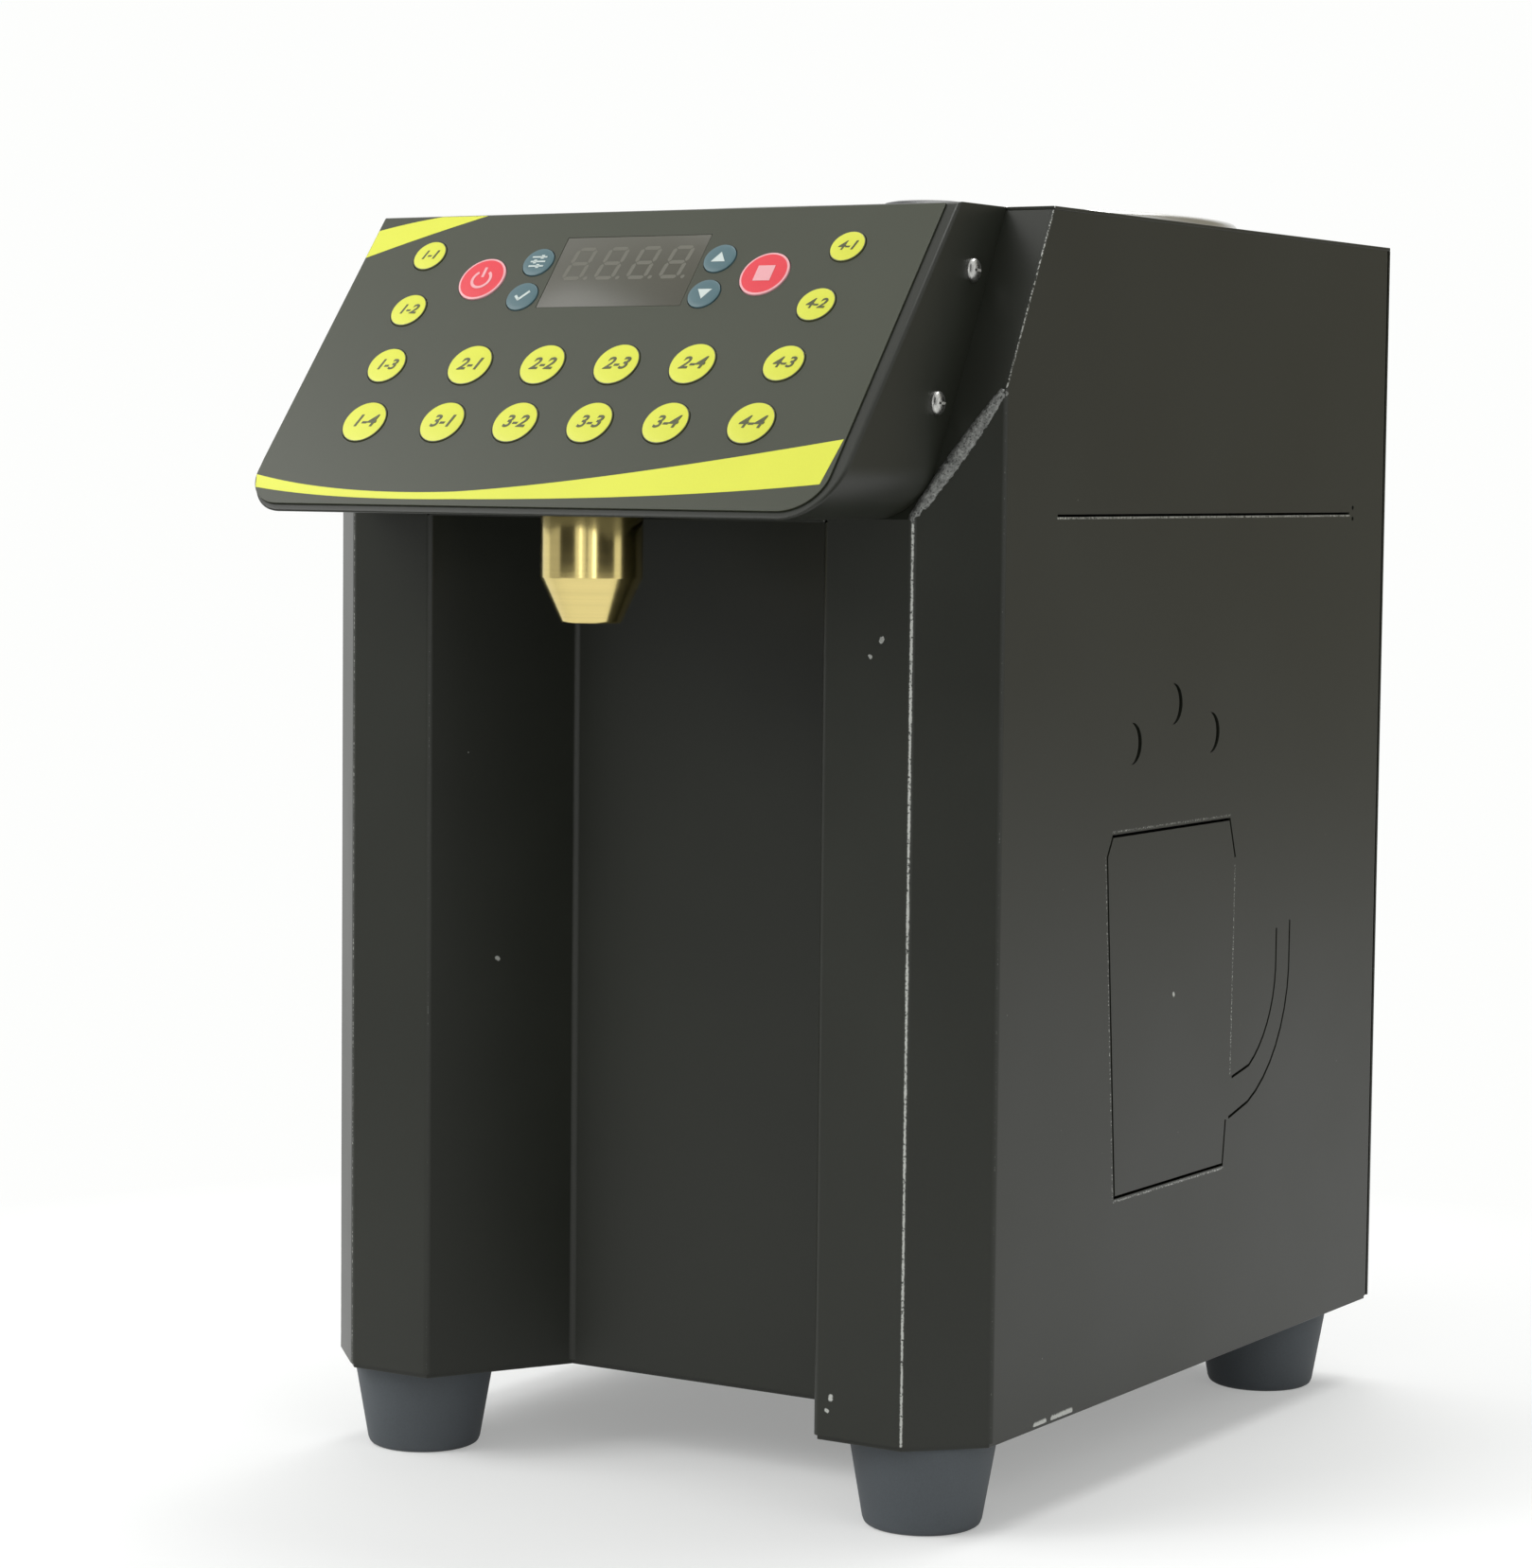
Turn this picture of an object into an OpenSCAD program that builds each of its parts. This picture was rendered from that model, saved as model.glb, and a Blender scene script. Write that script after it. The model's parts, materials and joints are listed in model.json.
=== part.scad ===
// Counter-top syrup dispenser with a keypad head, a cup bay and a heated tank.
// X is to the right seen from the front, Y runs to the back, Z is up.
// The origin is on the counter, under the middle of the whole dispenser.

/* [Cabinet] */
// Width of the cabinet over its sides
body_w = 260; // [250:1:330]
// Depth of the cabinet from the leg faces to the rear cover
body_d = 314; // [300:1:400]
// Height of the cabinet from its base plate to its top panel
body_h = 393; // [340:1:480]
// Thickness of the cabinet's sheet steel
sheet = 1.2; // [1:0.1:2]
// Thickness of the base plate
base_t = 1.5; // [1:0.1:3]
// How far the base plate stands back from the casing's outline
base_inset = 1; // [0.5:0.1:2]
// Width of the 45 degree corners beside the legs
corner = 21; // [15:0.5:26]
// How far the sloped upper front leans back at the top
slope_run = 51; // [40:1:60]
// Width of the flanges that carry the rear cover
rear_flange = 14; // [12:1:20]

/* [Cup bay] */
// Width of the bay between the leg faces
bay_w_front = 154; // [140:1:160]
// Width of the bay at its back wall
bay_w_back = 100; // [80:1:130]
// Depth of the bay
bay_d = 48; // [40:1:55]

/* [Head] */
// How far each cheek stands in from the cabinet's side
head_inset = 17.5; // [14:0.5:20]
// Length of the sloped keypad panel
panel_len = 127; // [115:1:145]
// Lean of the keypad panel from the vertical, in degrees
panel_tilt = 38.6; // [34:0.2:42]
// How far the panel's top edge stands behind the leg faces
panel_setback = 21; // [18:1:26]
// Radius of the head's lower corners
head_corner = 17; // [12:1:22]
// Thickness of the head's fixing brackets
bracket_t = 1.5; // [1:0.1:2.5]

/* [Keypad] */
// Thickness of the control overlay
overlay_t = 0.6; // [0.4:0.1:1]
// Bare margin of the panel around the overlay
overlay_margin = 3; // [2:0.5:6]
// Diameter of a dose key in the middle rows and of the lowest side keys
key_d = 16.4; // [12:0.1:17]
// Diameter of the topmost side keys
top_key_d = 12.4; // [10:0.1:14]
// Diameter of the power and stop keys
main_key_d = 17.5; // [14:0.1:20]
// Diameter of the set, save, up and down keys
small_key_d = 11.5; // [8:0.1:13]
// Clearance around a key in its hole
key_gap = 0.25; // [0.2:0.05:0.4]
// How far a key stands above the overlay
key_rise = 0.4; // [0.2:0.1:1]
// Travel of a key
key_travel = 0.5; // [0.3:0.1:1]
// Sideways shift of the key layout from the middle of the head
layout_x = -2.5; // [-5:0.5:5]
// Distance from the panel's top edge down to the first row of keys
first_row = 18.5; // [16:0.5:20]
// Distance between two rows of keys
row_pitch = 23.9; // [20:0.1:25]
// Distance between two keys in the middle rows
key_pitch = 28.7; // [26:0.1:29]
// Width of the display window
window_w = 56; // [50:1:58]
// Height of the display window
window_h = 30; // [26:1:32]
// Depth of the control board behind the panel's face
board_depth = 9; // [8:0.5:12]

/* [Nozzle] */
// Diameter of the nozzle's body
nozzle_d = 33; // [26:0.5:36]
// Diameter of the nozzle's tip
nozzle_tip_d = 20; // [16:0.5:24]
// Diameter of the outlet bore
nozzle_bore = 8; // [6:0.5:9]
// Length of the nozzle's round body
nozzle_body = 20; // [16:0.5:26]
// Length of the nozzle's cone
nozzle_cone = 14.5; // [10:0.5:20]
// Distance of the nozzle in front of the leg faces
nozzle_out = 16.8; // [14:0.1:20]

/* [Tank and lid] */
// Room between a side of the cabinet and the tank
tank_margin = 27; // [25:1:40]
// Wall thickness of the tank
tank_wall = 1; // [0.8:0.1:1.5]
// Height of the pump bay under the tank
pump_bay = 150; // [150:1:170]
// Fall of the tank's bottom towards its outlet
tank_fall = 14; // [10:1:20]
// Width of the tank's flange on the top panel
flange_w = 7; // [6:0.5:9]
// Distance from the lid's edge to the back of the cabinet
lid_back = 6; // [4:1:15]
// Height of the lid's rim above the top panel
lid_rise = 5; // [4:0.5:8]
// Depth of the dish in the middle of the lid
lid_dish = 8; // [6:0.5:12]
// Diameter of the lid's knob
knob_d = 34; // [26:1:44]
// Height of the knob above the lid's dish
knob_h = 16; // [14:0.5:22]
// Thickness of the insulation jacket
jacket_t = 5.5; // [3:0.5:8]
// Height of the heater band
heater_h = 50; // [30:1:70]

/* [Pump] */
// Number of teeth on each pump gear
teeth = 12; // [10:1:14]
// Pitch radius of the pump gears
gear_r = 10; // [9:0.5:11]
// Width of the pump gears
gear_w = 16; // [12:1:20]
// Diameter of the pump shafts
shaft_d = 6; // [5:0.5:7]
// Running clearance of the shafts, on the radius
running_gap = 0.05; // [0.02:0.01:0.1]
// Height of the pump's middle above the base of the cabinet
pump_z = 62; // [58:1:72]
// Distance of the pump behind the leg faces
pump_y = 150; // [140:1:170]
// Diameter of the motor
motor_d = 50; // [40:1:56]
// Length of the motor with its gearbox
motor_len = 86; // [60:1:92]

/* [Syrup hose] */
// Outside diameter of the hose
hose_d = 9; // [8:0.5:11]
// Bore of the hose
hose_bore = 6; // [5:0.5:7]
// Radius of the hose's bends, along its middle
hose_bend = 34; // [33:1:40]
// Distance from the bay's back wall to the middle of the hose
hose_back = 18; // [15:0.5:20]

/* [Feet and rear] */
// Height of the feet
foot_h = 30; // [20:1:40]
// Top diameter of a foot
foot_top_d = 48; // [40:1:54]
// Bottom diameter of a foot
foot_bottom_d = 38; // [30:1:44]
// Distance of the feet from the cabinet's sides, front and back
foot_inset = 30; // [28:1:36]
// Height of the power inlet and switch above the base
rear_z = 52; // [45:1:70]
// How far the power inlet's flange stands behind the rear cover
inlet_proud = 3; // [3:0.5:5]

/* [Hidden] */
$fn = 96;
eps = 0.01;
far = 600;
seat = 0.3;

hw = body_w / 2;
head_hw = hw - head_inset;
head_z = body_h - panel_len * cos(panel_tilt);
overhang = panel_len * sin(panel_tilt) - panel_setback;
slope_tilt = atan(slope_run / (body_h - head_z));
front_y = overhang - (overhang + body_d + inlet_proud) / 2;

foot_pocket = 14;
foot_bolt_d = 5;
foot_nut_h = 4;
rear_screw_inset = 6.5;
rear_screw_drop = 35;
head_screw_drops = [21, 63];
head_screw_setback = 11;
case_screw_shank = 6;

heater_t = 1.5;
lid_reach = flange_w + 2;
hose_free = 12;
tank_front = bay_d + hose_back + hose_d / 2 + hose_free + jacket_t + heater_t + 2 * seat;
tank_r = min(hw - tank_margin, (body_d - lid_back - lid_reach - tank_front) / 2);
lid_r = tank_r + lid_reach;
tank_y = body_d - lid_back - lid_r;
dish_r = tank_r - 11;
lid_sheet = 0.8;
seal_w = 4;
stub_r = 8;
stub_len = 24;
probe_turn = 200;
probe_lift = 84;

shell_colour = "#2d302e";
steel_colour = "#c9cbc8";
bright_colour = "#d9dad6";
brass_colour = "#c8a24a";

module_size = 2 * gear_r / teeth;
pressure = 25;
gear_tip = gear_r + 0.8 * module_size;
gear_root = gear_r - 1.1 * module_size;
gear_base = gear_r * cos(pressure);
gear_x = -13;
housing_x = 13;
cover_t = 6;
pump_hy = 23;
pump_hz = 30;
port_r = 3;
pump_screw_inset = 6;
motor_x = housing_x + 2 * bracket_t;

elbow_z = 16;
hose_y = bay_d + hose_back;
hose_z = head_z + elbow_z;
hose_start = 12 - nozzle_out;
hose_end = pump_y - pump_hy - 3;
barb_r = hose_bore / 2 - 0.05;
barb_bore = hose_bore / 2 - 1;
barb_stop = 2;
hose_slot = 44;
elbow_h = 12;
neck_r = 8;
neck_h = 10;

screw_head_d = 7.6;
screw_head_h = 2.4;
screw_d = 4;
screw_gap = 0.1;

inlet_x = -80;
inlet_plug = [23.5, 15.5];
switch_x = -38;
rocker_tilt = 8;
rocker_depth = 1.5;
rocker_pin_r = 1.25;

overlay_shift = -1.5;
side_key_inset = 31;
side_key_step = 2.35;
side_key_growth = 1;
main_key_x = 55;
main_key_drop = 10.8;
small_key_x = 35.4;
small_key_drop = 3.9;
small_key_pitch = 14.8;
window_drop = first_row - 6.7;
board_t = 1.6;
board_inset = 20;
board_top = 12;
board_low = first_row + 3 * row_pitch + 19;
switch_w = 6;
switch_h = board_depth - 5.9;
switch_gap = 0.1;
display_box = [50, 20];
collar_t = 0.8;
stem_d = 4;

function side_key_d(row) = row < 3 ? top_key_d + row * side_key_growth : key_d;

layout = [
    for (side = [-1, 1], row = [0:3]) let (reach = head_hw - side_key_inset - side_key_step * row)
        [layout_x + side * reach, first_row + row * row_pitch, side_key_d(row)],
    for (row = [2:3], column = [0:3])
        [layout_x + (column - 1.5) * key_pitch, first_row + row * row_pitch, key_d],
    for (side = [-1, 1])
        [layout_x + side * main_key_x, first_row + main_key_drop, main_key_d],
    for (side = [-1, 1], line = [0:1])
        [layout_x + side * small_key_x, first_row + small_key_drop + line * small_key_pitch, small_key_d]
];
layout_nodes = [
    "key_1_1", "key_1_2", "key_1_3", "key_1_4", "key_4_1", "key_4_2", "key_4_3", "key_4_4",
    "key_2_1", "key_2_2", "key_2_3", "key_2_4", "key_3_1", "key_3_2", "key_3_3", "key_3_4",
    "key_power", "key_stop", "key_set", "key_save", "key_up", "key_down"
];

// ---- shared shapes -------------------------------------------------------

function unit(v) = v / norm(v);
function left_of(a, b) = let (d = unit(b - a)) [-d[1], d[0]];

// One point of an open line, moved to the line's left by t with mitred corners.
function moved(line, i, t) =
    i == 0 ? line[0] + left_of(line[0], line[1]) * t
    : i == len(line) - 1 ? line[i] + left_of(line[i - 1], line[i]) * t
    : let (n = left_of(line[i - 1], line[i]), m = left_of(line[i], line[i + 1]))
        line[i] + (n + m) / (1 + n * m) * t;

function beside(line, t) = [for (i = [0:len(line) - 1]) moved(line, i, t)];
function reversed(line) = [for (i = [len(line) - 1:-1:0]) line[i]];
function mirrored(line) = concat(line, [for (p = reversed(line)) [-p[0], p[1]]]);
function arc(r, from, to, steps) =
    [for (i = [0:steps]) let (a = from + (to - from) * i / steps) r * [cos(a), sin(a)]];

// A bent sheet: the band of thickness t to the left of a line.
module band(line, t) {
    polygon(concat(line, reversed(beside(line, t))));
}

// Places the cabinet's own frame: leg faces at Y = 0, base at Z = 0.
module in_body() {
    translate([0, front_y, foot_h]) children();
}

// Extrudes a Y-Z outline along X.
module along_x(x0, x1) {
    translate([x0, 0, 0]) rotate([90, 0, 90]) linear_extrude(x1 - x0) children();
}

// Extrudes an X-Z outline along Y.
module along_y(y0, y1) {
    translate([0, y1, 0]) rotate([90, 0, 0]) linear_extrude(y1 - y0) children();
}

// The panel's frame: X across, Y up the panel from its top edge, Z out of its face.
module on_panel() {
    in_body() translate([0, panel_setback, body_h]) rotate([90 - panel_tilt, 0, 0]) children();
}

// The same for the sloped upper front.
module on_slope() {
    translate([0, slope_run, body_h]) rotate([90 - slope_tilt, 0, 0]) children();
}

function slope_y(z) = (z - head_z) * slope_run / (body_h - head_z);
function panel_y(z) = panel_setback - (body_h - z) * tan(panel_tilt);

// A flat shape from y0 to y1 with two round lower corners.
module round_bottomed(half, y0, y1, r) {
    translate([-half, y0 + r]) square([2 * half, y1 - y0 - r]);
    translate([r - half, y0]) square([2 * (half - r), y1 - y0]);
    for (side = [-1, 1]) translate([side * (half - r), y0 + r]) circle(r);
}

// A pan-head screw with a cross recess; its head's seat is at Z = 0 and its shank points down.
module pan_screw(shank) {
    dome = [for (a = [0:15:75]) [screw_head_d / 2 * cos(a), 0.6 + (screw_head_h - 0.6) * sin(a)]];
    difference() {
        rotate_extrude() polygon(concat(
            [[0, -shank], [screw_d / 2, -shank], [screw_d / 2, 0], [screw_head_d / 2, 0]],
            dome,
            [[0, screw_head_h]]
        ));
        for (turn = [0, 90]) rotate(turn) translate([-2, -0.4, screw_head_h - 1]) cube([4, 0.8, 2]);
    }
}

// ---- outlines of the cabinet ---------------------------------------------

half_plan = [
    [-hw, body_d - sheet], [-hw, corner], [corner - hw, 0],
    [-bay_w_front / 2, 0], [-bay_w_back / 2, bay_d]
];
plan_line = mirrored(half_plan);
wrap_line = concat(
    [[rear_flange - hw, body_d - sheet]], plan_line, [[hw - rear_flange, body_d - sheet]]
);
wrap_inside = beside(wrap_line, sheet);
bay_lid = [wrap_line[4], wrap_inside[4], wrap_inside[5], wrap_inside[6], wrap_inside[7], wrap_line[7]];
leg_end = hw - corner - 2 * sheet;
slope_clip = mirrored([
    [sheet - hw, body_d], [sheet - hw, corner + (sqrt(2) - 1) * sheet],
    [corner - hw + (sqrt(2) - 1) * sheet, sheet], [-leg_end, sheet], [-leg_end, 0]
]);

// ---- cabinet -------------------------------------------------------------

module upper_front_shape() {
    slab = [
        [slope_y(head_z), head_z],
        [slope_y(body_h - sheet), body_h - sheet],
        [slope_y(body_h - sheet) + sheet / cos(slope_tilt), body_h - sheet],
        [slope_y(head_z) + sheet / cos(slope_tilt), head_z]
    ];
    difference() {
        union() {
            intersection() {
                along_x(-hw, hw) polygon(slab);
                linear_extrude(body_h) polygon(slope_clip);
            }
            translate([0, 0, head_z - sheet]) linear_extrude(sheet) polygon(bay_lid);
        }
        translate([-hose_slot / 2, -1, hose_z - 10]) cube([hose_slot, bay_d, 24]);
    }
}

module side_vents() {
    cup = [[192, 176], [187, 190], [98, 190], [94, 183], [103, 68], [186, 68], [188, 84]];
    grip_out = concat([[190, 84]], [for (p = arc(52, -68, -4, 8)) p + [186, 136]], [[238, 150]]);
    grip_in = concat([[192, 98]], [for (p = arc(40, -62, -4, 8)) p + [187, 136]], [[227, 148]]);
    wisps = [[111, 219.5], [141, 231.5], [170, 220.5]];
    slit = 1;
    along_x(hw - 3 * sheet, hw + sheet) {
        band(cup, slit);
        band(grip_out, slit);
        band(grip_in, slit);
        for (at = wisps) translate(at) difference() {
            circle(7);
            translate([-3, 0]) circle(7.5);
        }
        translate([56, head_z + 1]) square([226, 0.8]);
        for (rise = [-0.5, 3.5]) translate([285, head_z + rise]) circle(0.8);
    }
}

// What is cut off in front of the slope; the leg faces end flat where the sloped plate stands on them.
module slope_cut() {
    step = 2 * sheet;
    over = [[slope_y(far), far], [-1, far], [-1, head_z]];
    along_x(-leg_end, leg_end)
        polygon(concat([[step, head_z], [step, head_z + step * (body_h - head_z) / slope_run]], over));
    for (side = [0, 1]) mirror([side, 0, 0])
        along_x(leg_end, hw + 1) polygon(concat([[0, head_z]], over));
}

module casing() {
    color(shell_colour) in_body() difference() {
        translate([0, 0, base_t]) linear_extrude(body_h - sheet - base_t) band(wrap_line, sheet);
        slope_cut();
        translate([0, 0, head_z - sheet]) linear_extrude(far) polygon(bay_lid);
        side_vents();
        rear_screws() cylinder(r = screw_d / 2 + screw_gap, h = 20, center = true);
    }
}

module upper_front() {
    color(shell_colour) in_body() upper_front_shape();
}

module top_panel() {
    color(shell_colour) in_body() difference() {
        translate([-hw, slope_run, body_h - sheet]) cube([body_w, body_d - slope_run, sheet]);
        translate([0, tank_y, body_h]) cylinder(r = tank_r + 0.5, h = 10, center = true);
    }
}

module at_feet() {
    for (x = [foot_inset - hw, hw - foot_inset], y = [foot_inset, body_d - foot_inset])
        translate([x, y, 0]) children();
}

module base_plate() {
    color(shell_colour) in_body() difference() {
        linear_extrude(base_t) polygon(beside(plan_line, base_inset));
        at_feet() cylinder(d = foot_bolt_d + 2 * screw_gap, h = 10, center = true);
        for (i = [0:5]) translate([-60, 110 + 12 * i, -1]) cube([44, 3.5, 5]);
    }
}

module rear_screws() {
    for (x = [rear_screw_inset - hw, hw - rear_screw_inset],
         z = [rear_screw_drop, body_h / 2, body_h - rear_screw_drop])
        translate([x, body_d, z]) rotate([-90, 0, 0]) children();
}

module rear_cover() {
    color(shell_colour) in_body() difference() {
        translate([-hw, body_d - sheet, base_t]) cube([body_w, sheet, body_h - sheet - base_t]);
        translate([inlet_x, body_d, rear_z]) cube([27.4, 10, 20.4], center = true);
        translate([switch_x, body_d, rear_z]) cube([19.4, 10, 13.4], center = true);
        rear_screws() cylinder(r = screw_d / 2 + screw_gap, h = 20, center = true);
        for (side = [-1, 1], i = [0:7])
            translate([side * 50 - 28, body_d - 5, body_h - 150 + 9 * i]) cube([56, 10, 3]);
    }
}

module head_screw_spots() {
    for (side = [-1, 1], drop = head_screw_drops)
        translate([side * head_hw, slope_y(body_h - drop) - head_screw_setback, body_h - drop])
            rotate([0, side * 90, 0]) children();
}

module case_screws() {
    color(bright_colour) in_body() {
        rear_screws() pan_screw(case_screw_shank);
        head_screw_spots() pan_screw(case_screw_shank);
    }
}

module feet() {
    profile = [
        [3, 0], [foot_top_d / 2 - 0.8, 0], [foot_top_d / 2, -0.8],
        [foot_bottom_d / 2 + 0.4, 1.2 - foot_h], [foot_bottom_d / 2 - 0.8, -foot_h],
        [7, -foot_h], [7, foot_pocket - foot_h], [3, foot_pocket - foot_h]
    ];
    color("#383c42") in_body() at_feet() rotate_extrude() polygon(profile);
}

module foot_bolts() {
    color(bright_colour) in_body() at_feet() {
        difference() {
            translate([0, 0, foot_pocket - foot_h - 3]) cylinder(d = 9.5, h = 3);
            translate([0, 0, foot_pocket - foot_h - 4]) cylinder(d = 4.6, h = 3, $fn = 6);
        }
        translate([0, 0, foot_pocket - foot_h])
            cylinder(d = foot_bolt_d, h = foot_h - foot_pocket + base_t + foot_nut_h + 3);
        translate([0, 0, base_t]) difference() {
            cylinder(d = 1.84 * foot_bolt_d, h = foot_nut_h, $fn = 6);
            cylinder(d = foot_bolt_d + screw_gap, h = 10, center = true);
        }
    }
}

// ---- head and keypad -----------------------------------------------------

// The head's solid outline, drawn in by t; the inner one runs on behind so that the shell is open there.
module head_form(t, behind) {
    lean = t / cos(panel_tilt);
    intersection() {
        along_y(-far, far) round_bottomed(head_hw - t, head_z + t, body_h - t, head_corner - t);
        along_x(-hw, hw) polygon([
            [panel_y(head_z) + lean, head_z],
            [panel_y(body_h) + lean, body_h],
            [slope_y(body_h) + behind, body_h],
            [slope_y(head_z) + behind, head_z]
        ]);
    }
}

module key_holes(gap) {
    for (key = layout)
        translate([key[0], -key[1], 0]) cylinder(r = key[2] / 2 + gap, h = 10, center = true);
}

module window_hole(gap) {
    translate([layout_x, -window_drop - window_h / 2, 0])
        cube([window_w + 2 * gap, window_h + 2 * gap, 10], center = true);
}

module head_cover() {
    color(shell_colour) difference() {
        in_body() difference() {
            head_form(0, 0);
            head_form(sheet, 10);
            translate([0, -nozzle_out, head_z]) cylinder(r = neck_r + 0.2, h = 10, center = true);
            head_screw_spots() cylinder(r = screw_d / 2 + screw_gap, h = 20, center = true);
        }
        on_panel() {
            key_holes(key_gap);
            window_hole(0.1);
        }
    }
}

module head_brackets() {
    reach = head_hw - sheet - eps;
    color(steel_colour) in_body() difference() {
        for (side = [0, 1]) mirror([side, 0, 0])
            on_slope() translate([0, -20, eps]) rotate([90, 0, 0]) linear_extrude(64)
                band([[reach, 18], [reach, 0], [reach - 14, 0]], -bracket_t);
        head_screw_spots() cylinder(r = screw_d / 2 + screw_gap, h = 20, center = true);
    }
}

module control_overlay() {
    color("#585c55") on_panel() difference() {
        translate([overlay_shift, 0, eps]) linear_extrude(overlay_t) round_bottomed(
            head_hw - overlay_margin, overlay_margin - panel_len, -1, head_corner - overlay_margin
        );
        key_holes(key_gap);
        window_hole(0.1);
    }
}

module display_window() {
    color("#2e2c28") on_panel() translate([layout_x - window_w / 2, -window_drop - window_h, -sheet])
        cube([window_w, window_h, sheet + overlay_t]);
}

module control_board() {
    color("#2f6b45") on_panel() {
        translate([board_inset - head_hw, -board_low, -board_depth - board_t])
            cube([2 * (head_hw - board_inset), board_low - board_top, board_t]);
        for (key = layout)
            translate([key[0] - switch_w / 2, -key[1] - switch_w / 2, -board_depth - eps])
                cube([switch_w, switch_w, switch_h + eps]);
        translate([layout_x, -window_drop - window_h / 2, -board_depth - eps])
            translate([-display_box[0] / 2, -display_box[1] / 2, 0])
                cube([display_box[0], display_box[1], board_depth - sheet - seat + eps]);
    }
}

module board_spacers() {
    drops = [first_row + row_pitch / 2, first_row + 2.5 * row_pitch, board_low - 4];
    color(bright_colour) on_panel() for (side = [-1, 1], drop = drops)
        translate([side * (head_hw - board_inset - 4), -drop, -board_depth])
            cylinder(d = 5, h = board_depth - sheet);
}

// A key: cap through the overlay, a collar behind the panel and a stem down to its switch.
module key(index) {
    spot = layout[index];
    cap_colour = index < 16 ? "#dee142" : index < 18 ? "#c8343c" : "#496469";
    collar_z = -sheet - seat;
    stem_z = -board_depth + switch_h + key_travel + switch_gap;
    color(cap_colour) on_panel() translate([spot[0], -spot[1], 0]) {
        translate([0, 0, collar_z]) cylinder(d = spot[2], h = overlay_t + key_rise - collar_z);
        translate([0, 0, collar_z - collar_t]) cylinder(d = spot[2] + 2, h = collar_t);
        translate([0, 0, stem_z]) cylinder(d = stem_d, h = collar_z - collar_t - stem_z);
    }
}

// ---- tank and lid --------------------------------------------------------

module at_tank() {
    in_body() translate([0, tank_y, 0]) children();
}

module syrup_tank() {
    wall = [
        [stub_r, pump_bay - stub_len], [stub_r, pump_bay], [tank_r, pump_bay + tank_fall],
        [tank_r, body_h], [tank_r + flange_w, body_h]
    ];
    color(steel_colour) at_tank() rotate_extrude() band(wall, tank_wall);
}

module heater_band() {
    heater_in = tank_r + seat;
    color("#b58a4c") at_tank() translate([0, 0, pump_bay + tank_fall + 2]) difference() {
        cylinder(r = heater_in + heater_t, h = heater_h);
        translate([0, 0, -1]) cylinder(r = heater_in, h = heater_h + 2);
    }
}

module insulation_jacket() {
    jacket_in = tank_r + heater_t + 2 * seat;
    jacket_z = pump_bay + tank_fall;
    jacket_h = body_h - jacket_z - 16;
    color("#3b3b3d") at_tank() translate([0, 0, jacket_z]) difference() {
        cylinder(r = jacket_in + jacket_t, h = jacket_h);
        translate([0, 0, -1]) cylinder(r = jacket_in, h = jacket_h + 2);
        rotate(probe_turn) translate([tank_r, -4, probe_lift - 4]) cube([30, 8, 24]);
    }
}

// The probe is clipped flat on the tank's wall, in a window of the jacket.
module temperature_probe() {
    probe_z = pump_bay + tank_fall + probe_lift;
    color(bright_colour) at_tank() rotate(probe_turn) translate([tank_r + seat + 2.5, 0, probe_z]) {
        cylinder(d = 5, h = 14);
        translate([0, 0, 14]) cylinder(d = 3, h = 3);
    }
}

module feed_pipe() {
    bend = 14;
    top = pump_bay - stub_len;
    run_end = pump_y + pump_hy;
    module route(r) {
        translate([0, 0, pump_z + bend]) cylinder(r = r, h = top - pump_z - bend);
        translate([0, -bend, pump_z + bend]) rotate([0, 90, 0])
            rotate_extrude(angle = 90) translate([bend, 0]) circle(r);
        translate([0, -bend, pump_z]) rotate([90, 0, 0]) cylinder(r = r, h = tank_y - bend - run_end);
    }
    color(steel_colour) at_tank() difference() {
        route(stub_r);
        route(stub_r - 1.5);
    }
}

module lid() {
    top = body_h + lid_rise;
    crown = [
        [lid_r, body_h + 0.6], [lid_r, top - 1.6], [lid_r - 0.5, top - 0.5], [lid_r - 1.6, top],
        [dish_r + 3, top], [dish_r, top - 2], [dish_r - 2, top - lid_dish + 1],
        [dish_r - 4, top - lid_dish], [0, top - lid_dish]
    ];
    color(steel_colour) at_tank() rotate_extrude() band(crown, lid_sheet);
}

module lid_knob() {
    grip = knob_d / 2;
    profile = [
        [0, 0], [10, 0], [10, 1.5], [7, 4], [7, knob_h - 9], [grip - 1.5, knob_h - 6.5],
        [grip, knob_h - 4.5], [grip, knob_h - 2.5], [grip - 2, knob_h - 0.6], [grip - 5, knob_h], [0, knob_h]
    ];
    color("#1d1d1f") at_tank() translate([0, 0, body_h + lid_rise - lid_dish])
        rotate_extrude() polygon(profile);
}

module lid_seal() {
    color("#d8d8d2") at_tank() translate([0, 0, body_h + tank_wall]) difference() {
        cylinder(r = tank_r + seal_w + 1, h = lid_rise - lid_sheet - tank_wall);
        translate([0, 0, -1]) cylinder(r = tank_r + 1, h = 20);
    }
}

// ---- pump ----------------------------------------------------------------

function roll(r) = sqrt(max((r / gear_base) ^ 2 - 1, 0)) * 180 / PI;
function involute(r) = roll(r) - atan(roll(r) * PI / 180);
function flank(r) = 90 / teeth - 1.2 + involute(gear_r) - involute(r);

module gear_outline() {
    radii = [gear_root, for (i = [0:5]) gear_base + (gear_tip - gear_base) * i / 5];
    polygon([
        for (tooth = [0:teeth - 1]) each concat(
            [for (r = radii) r * [cos(tooth * 360 / teeth - flank(r)), sin(tooth * 360 / teeth - flank(r))]],
            [for (r = reversed(radii))
                r * [cos(tooth * 360 / teeth + flank(r)), sin(tooth * 360 / teeth + flank(r))]]
        )
    ]);
}

module at_pump() {
    in_body() translate([0, pump_y, pump_z]) children();
}

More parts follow.
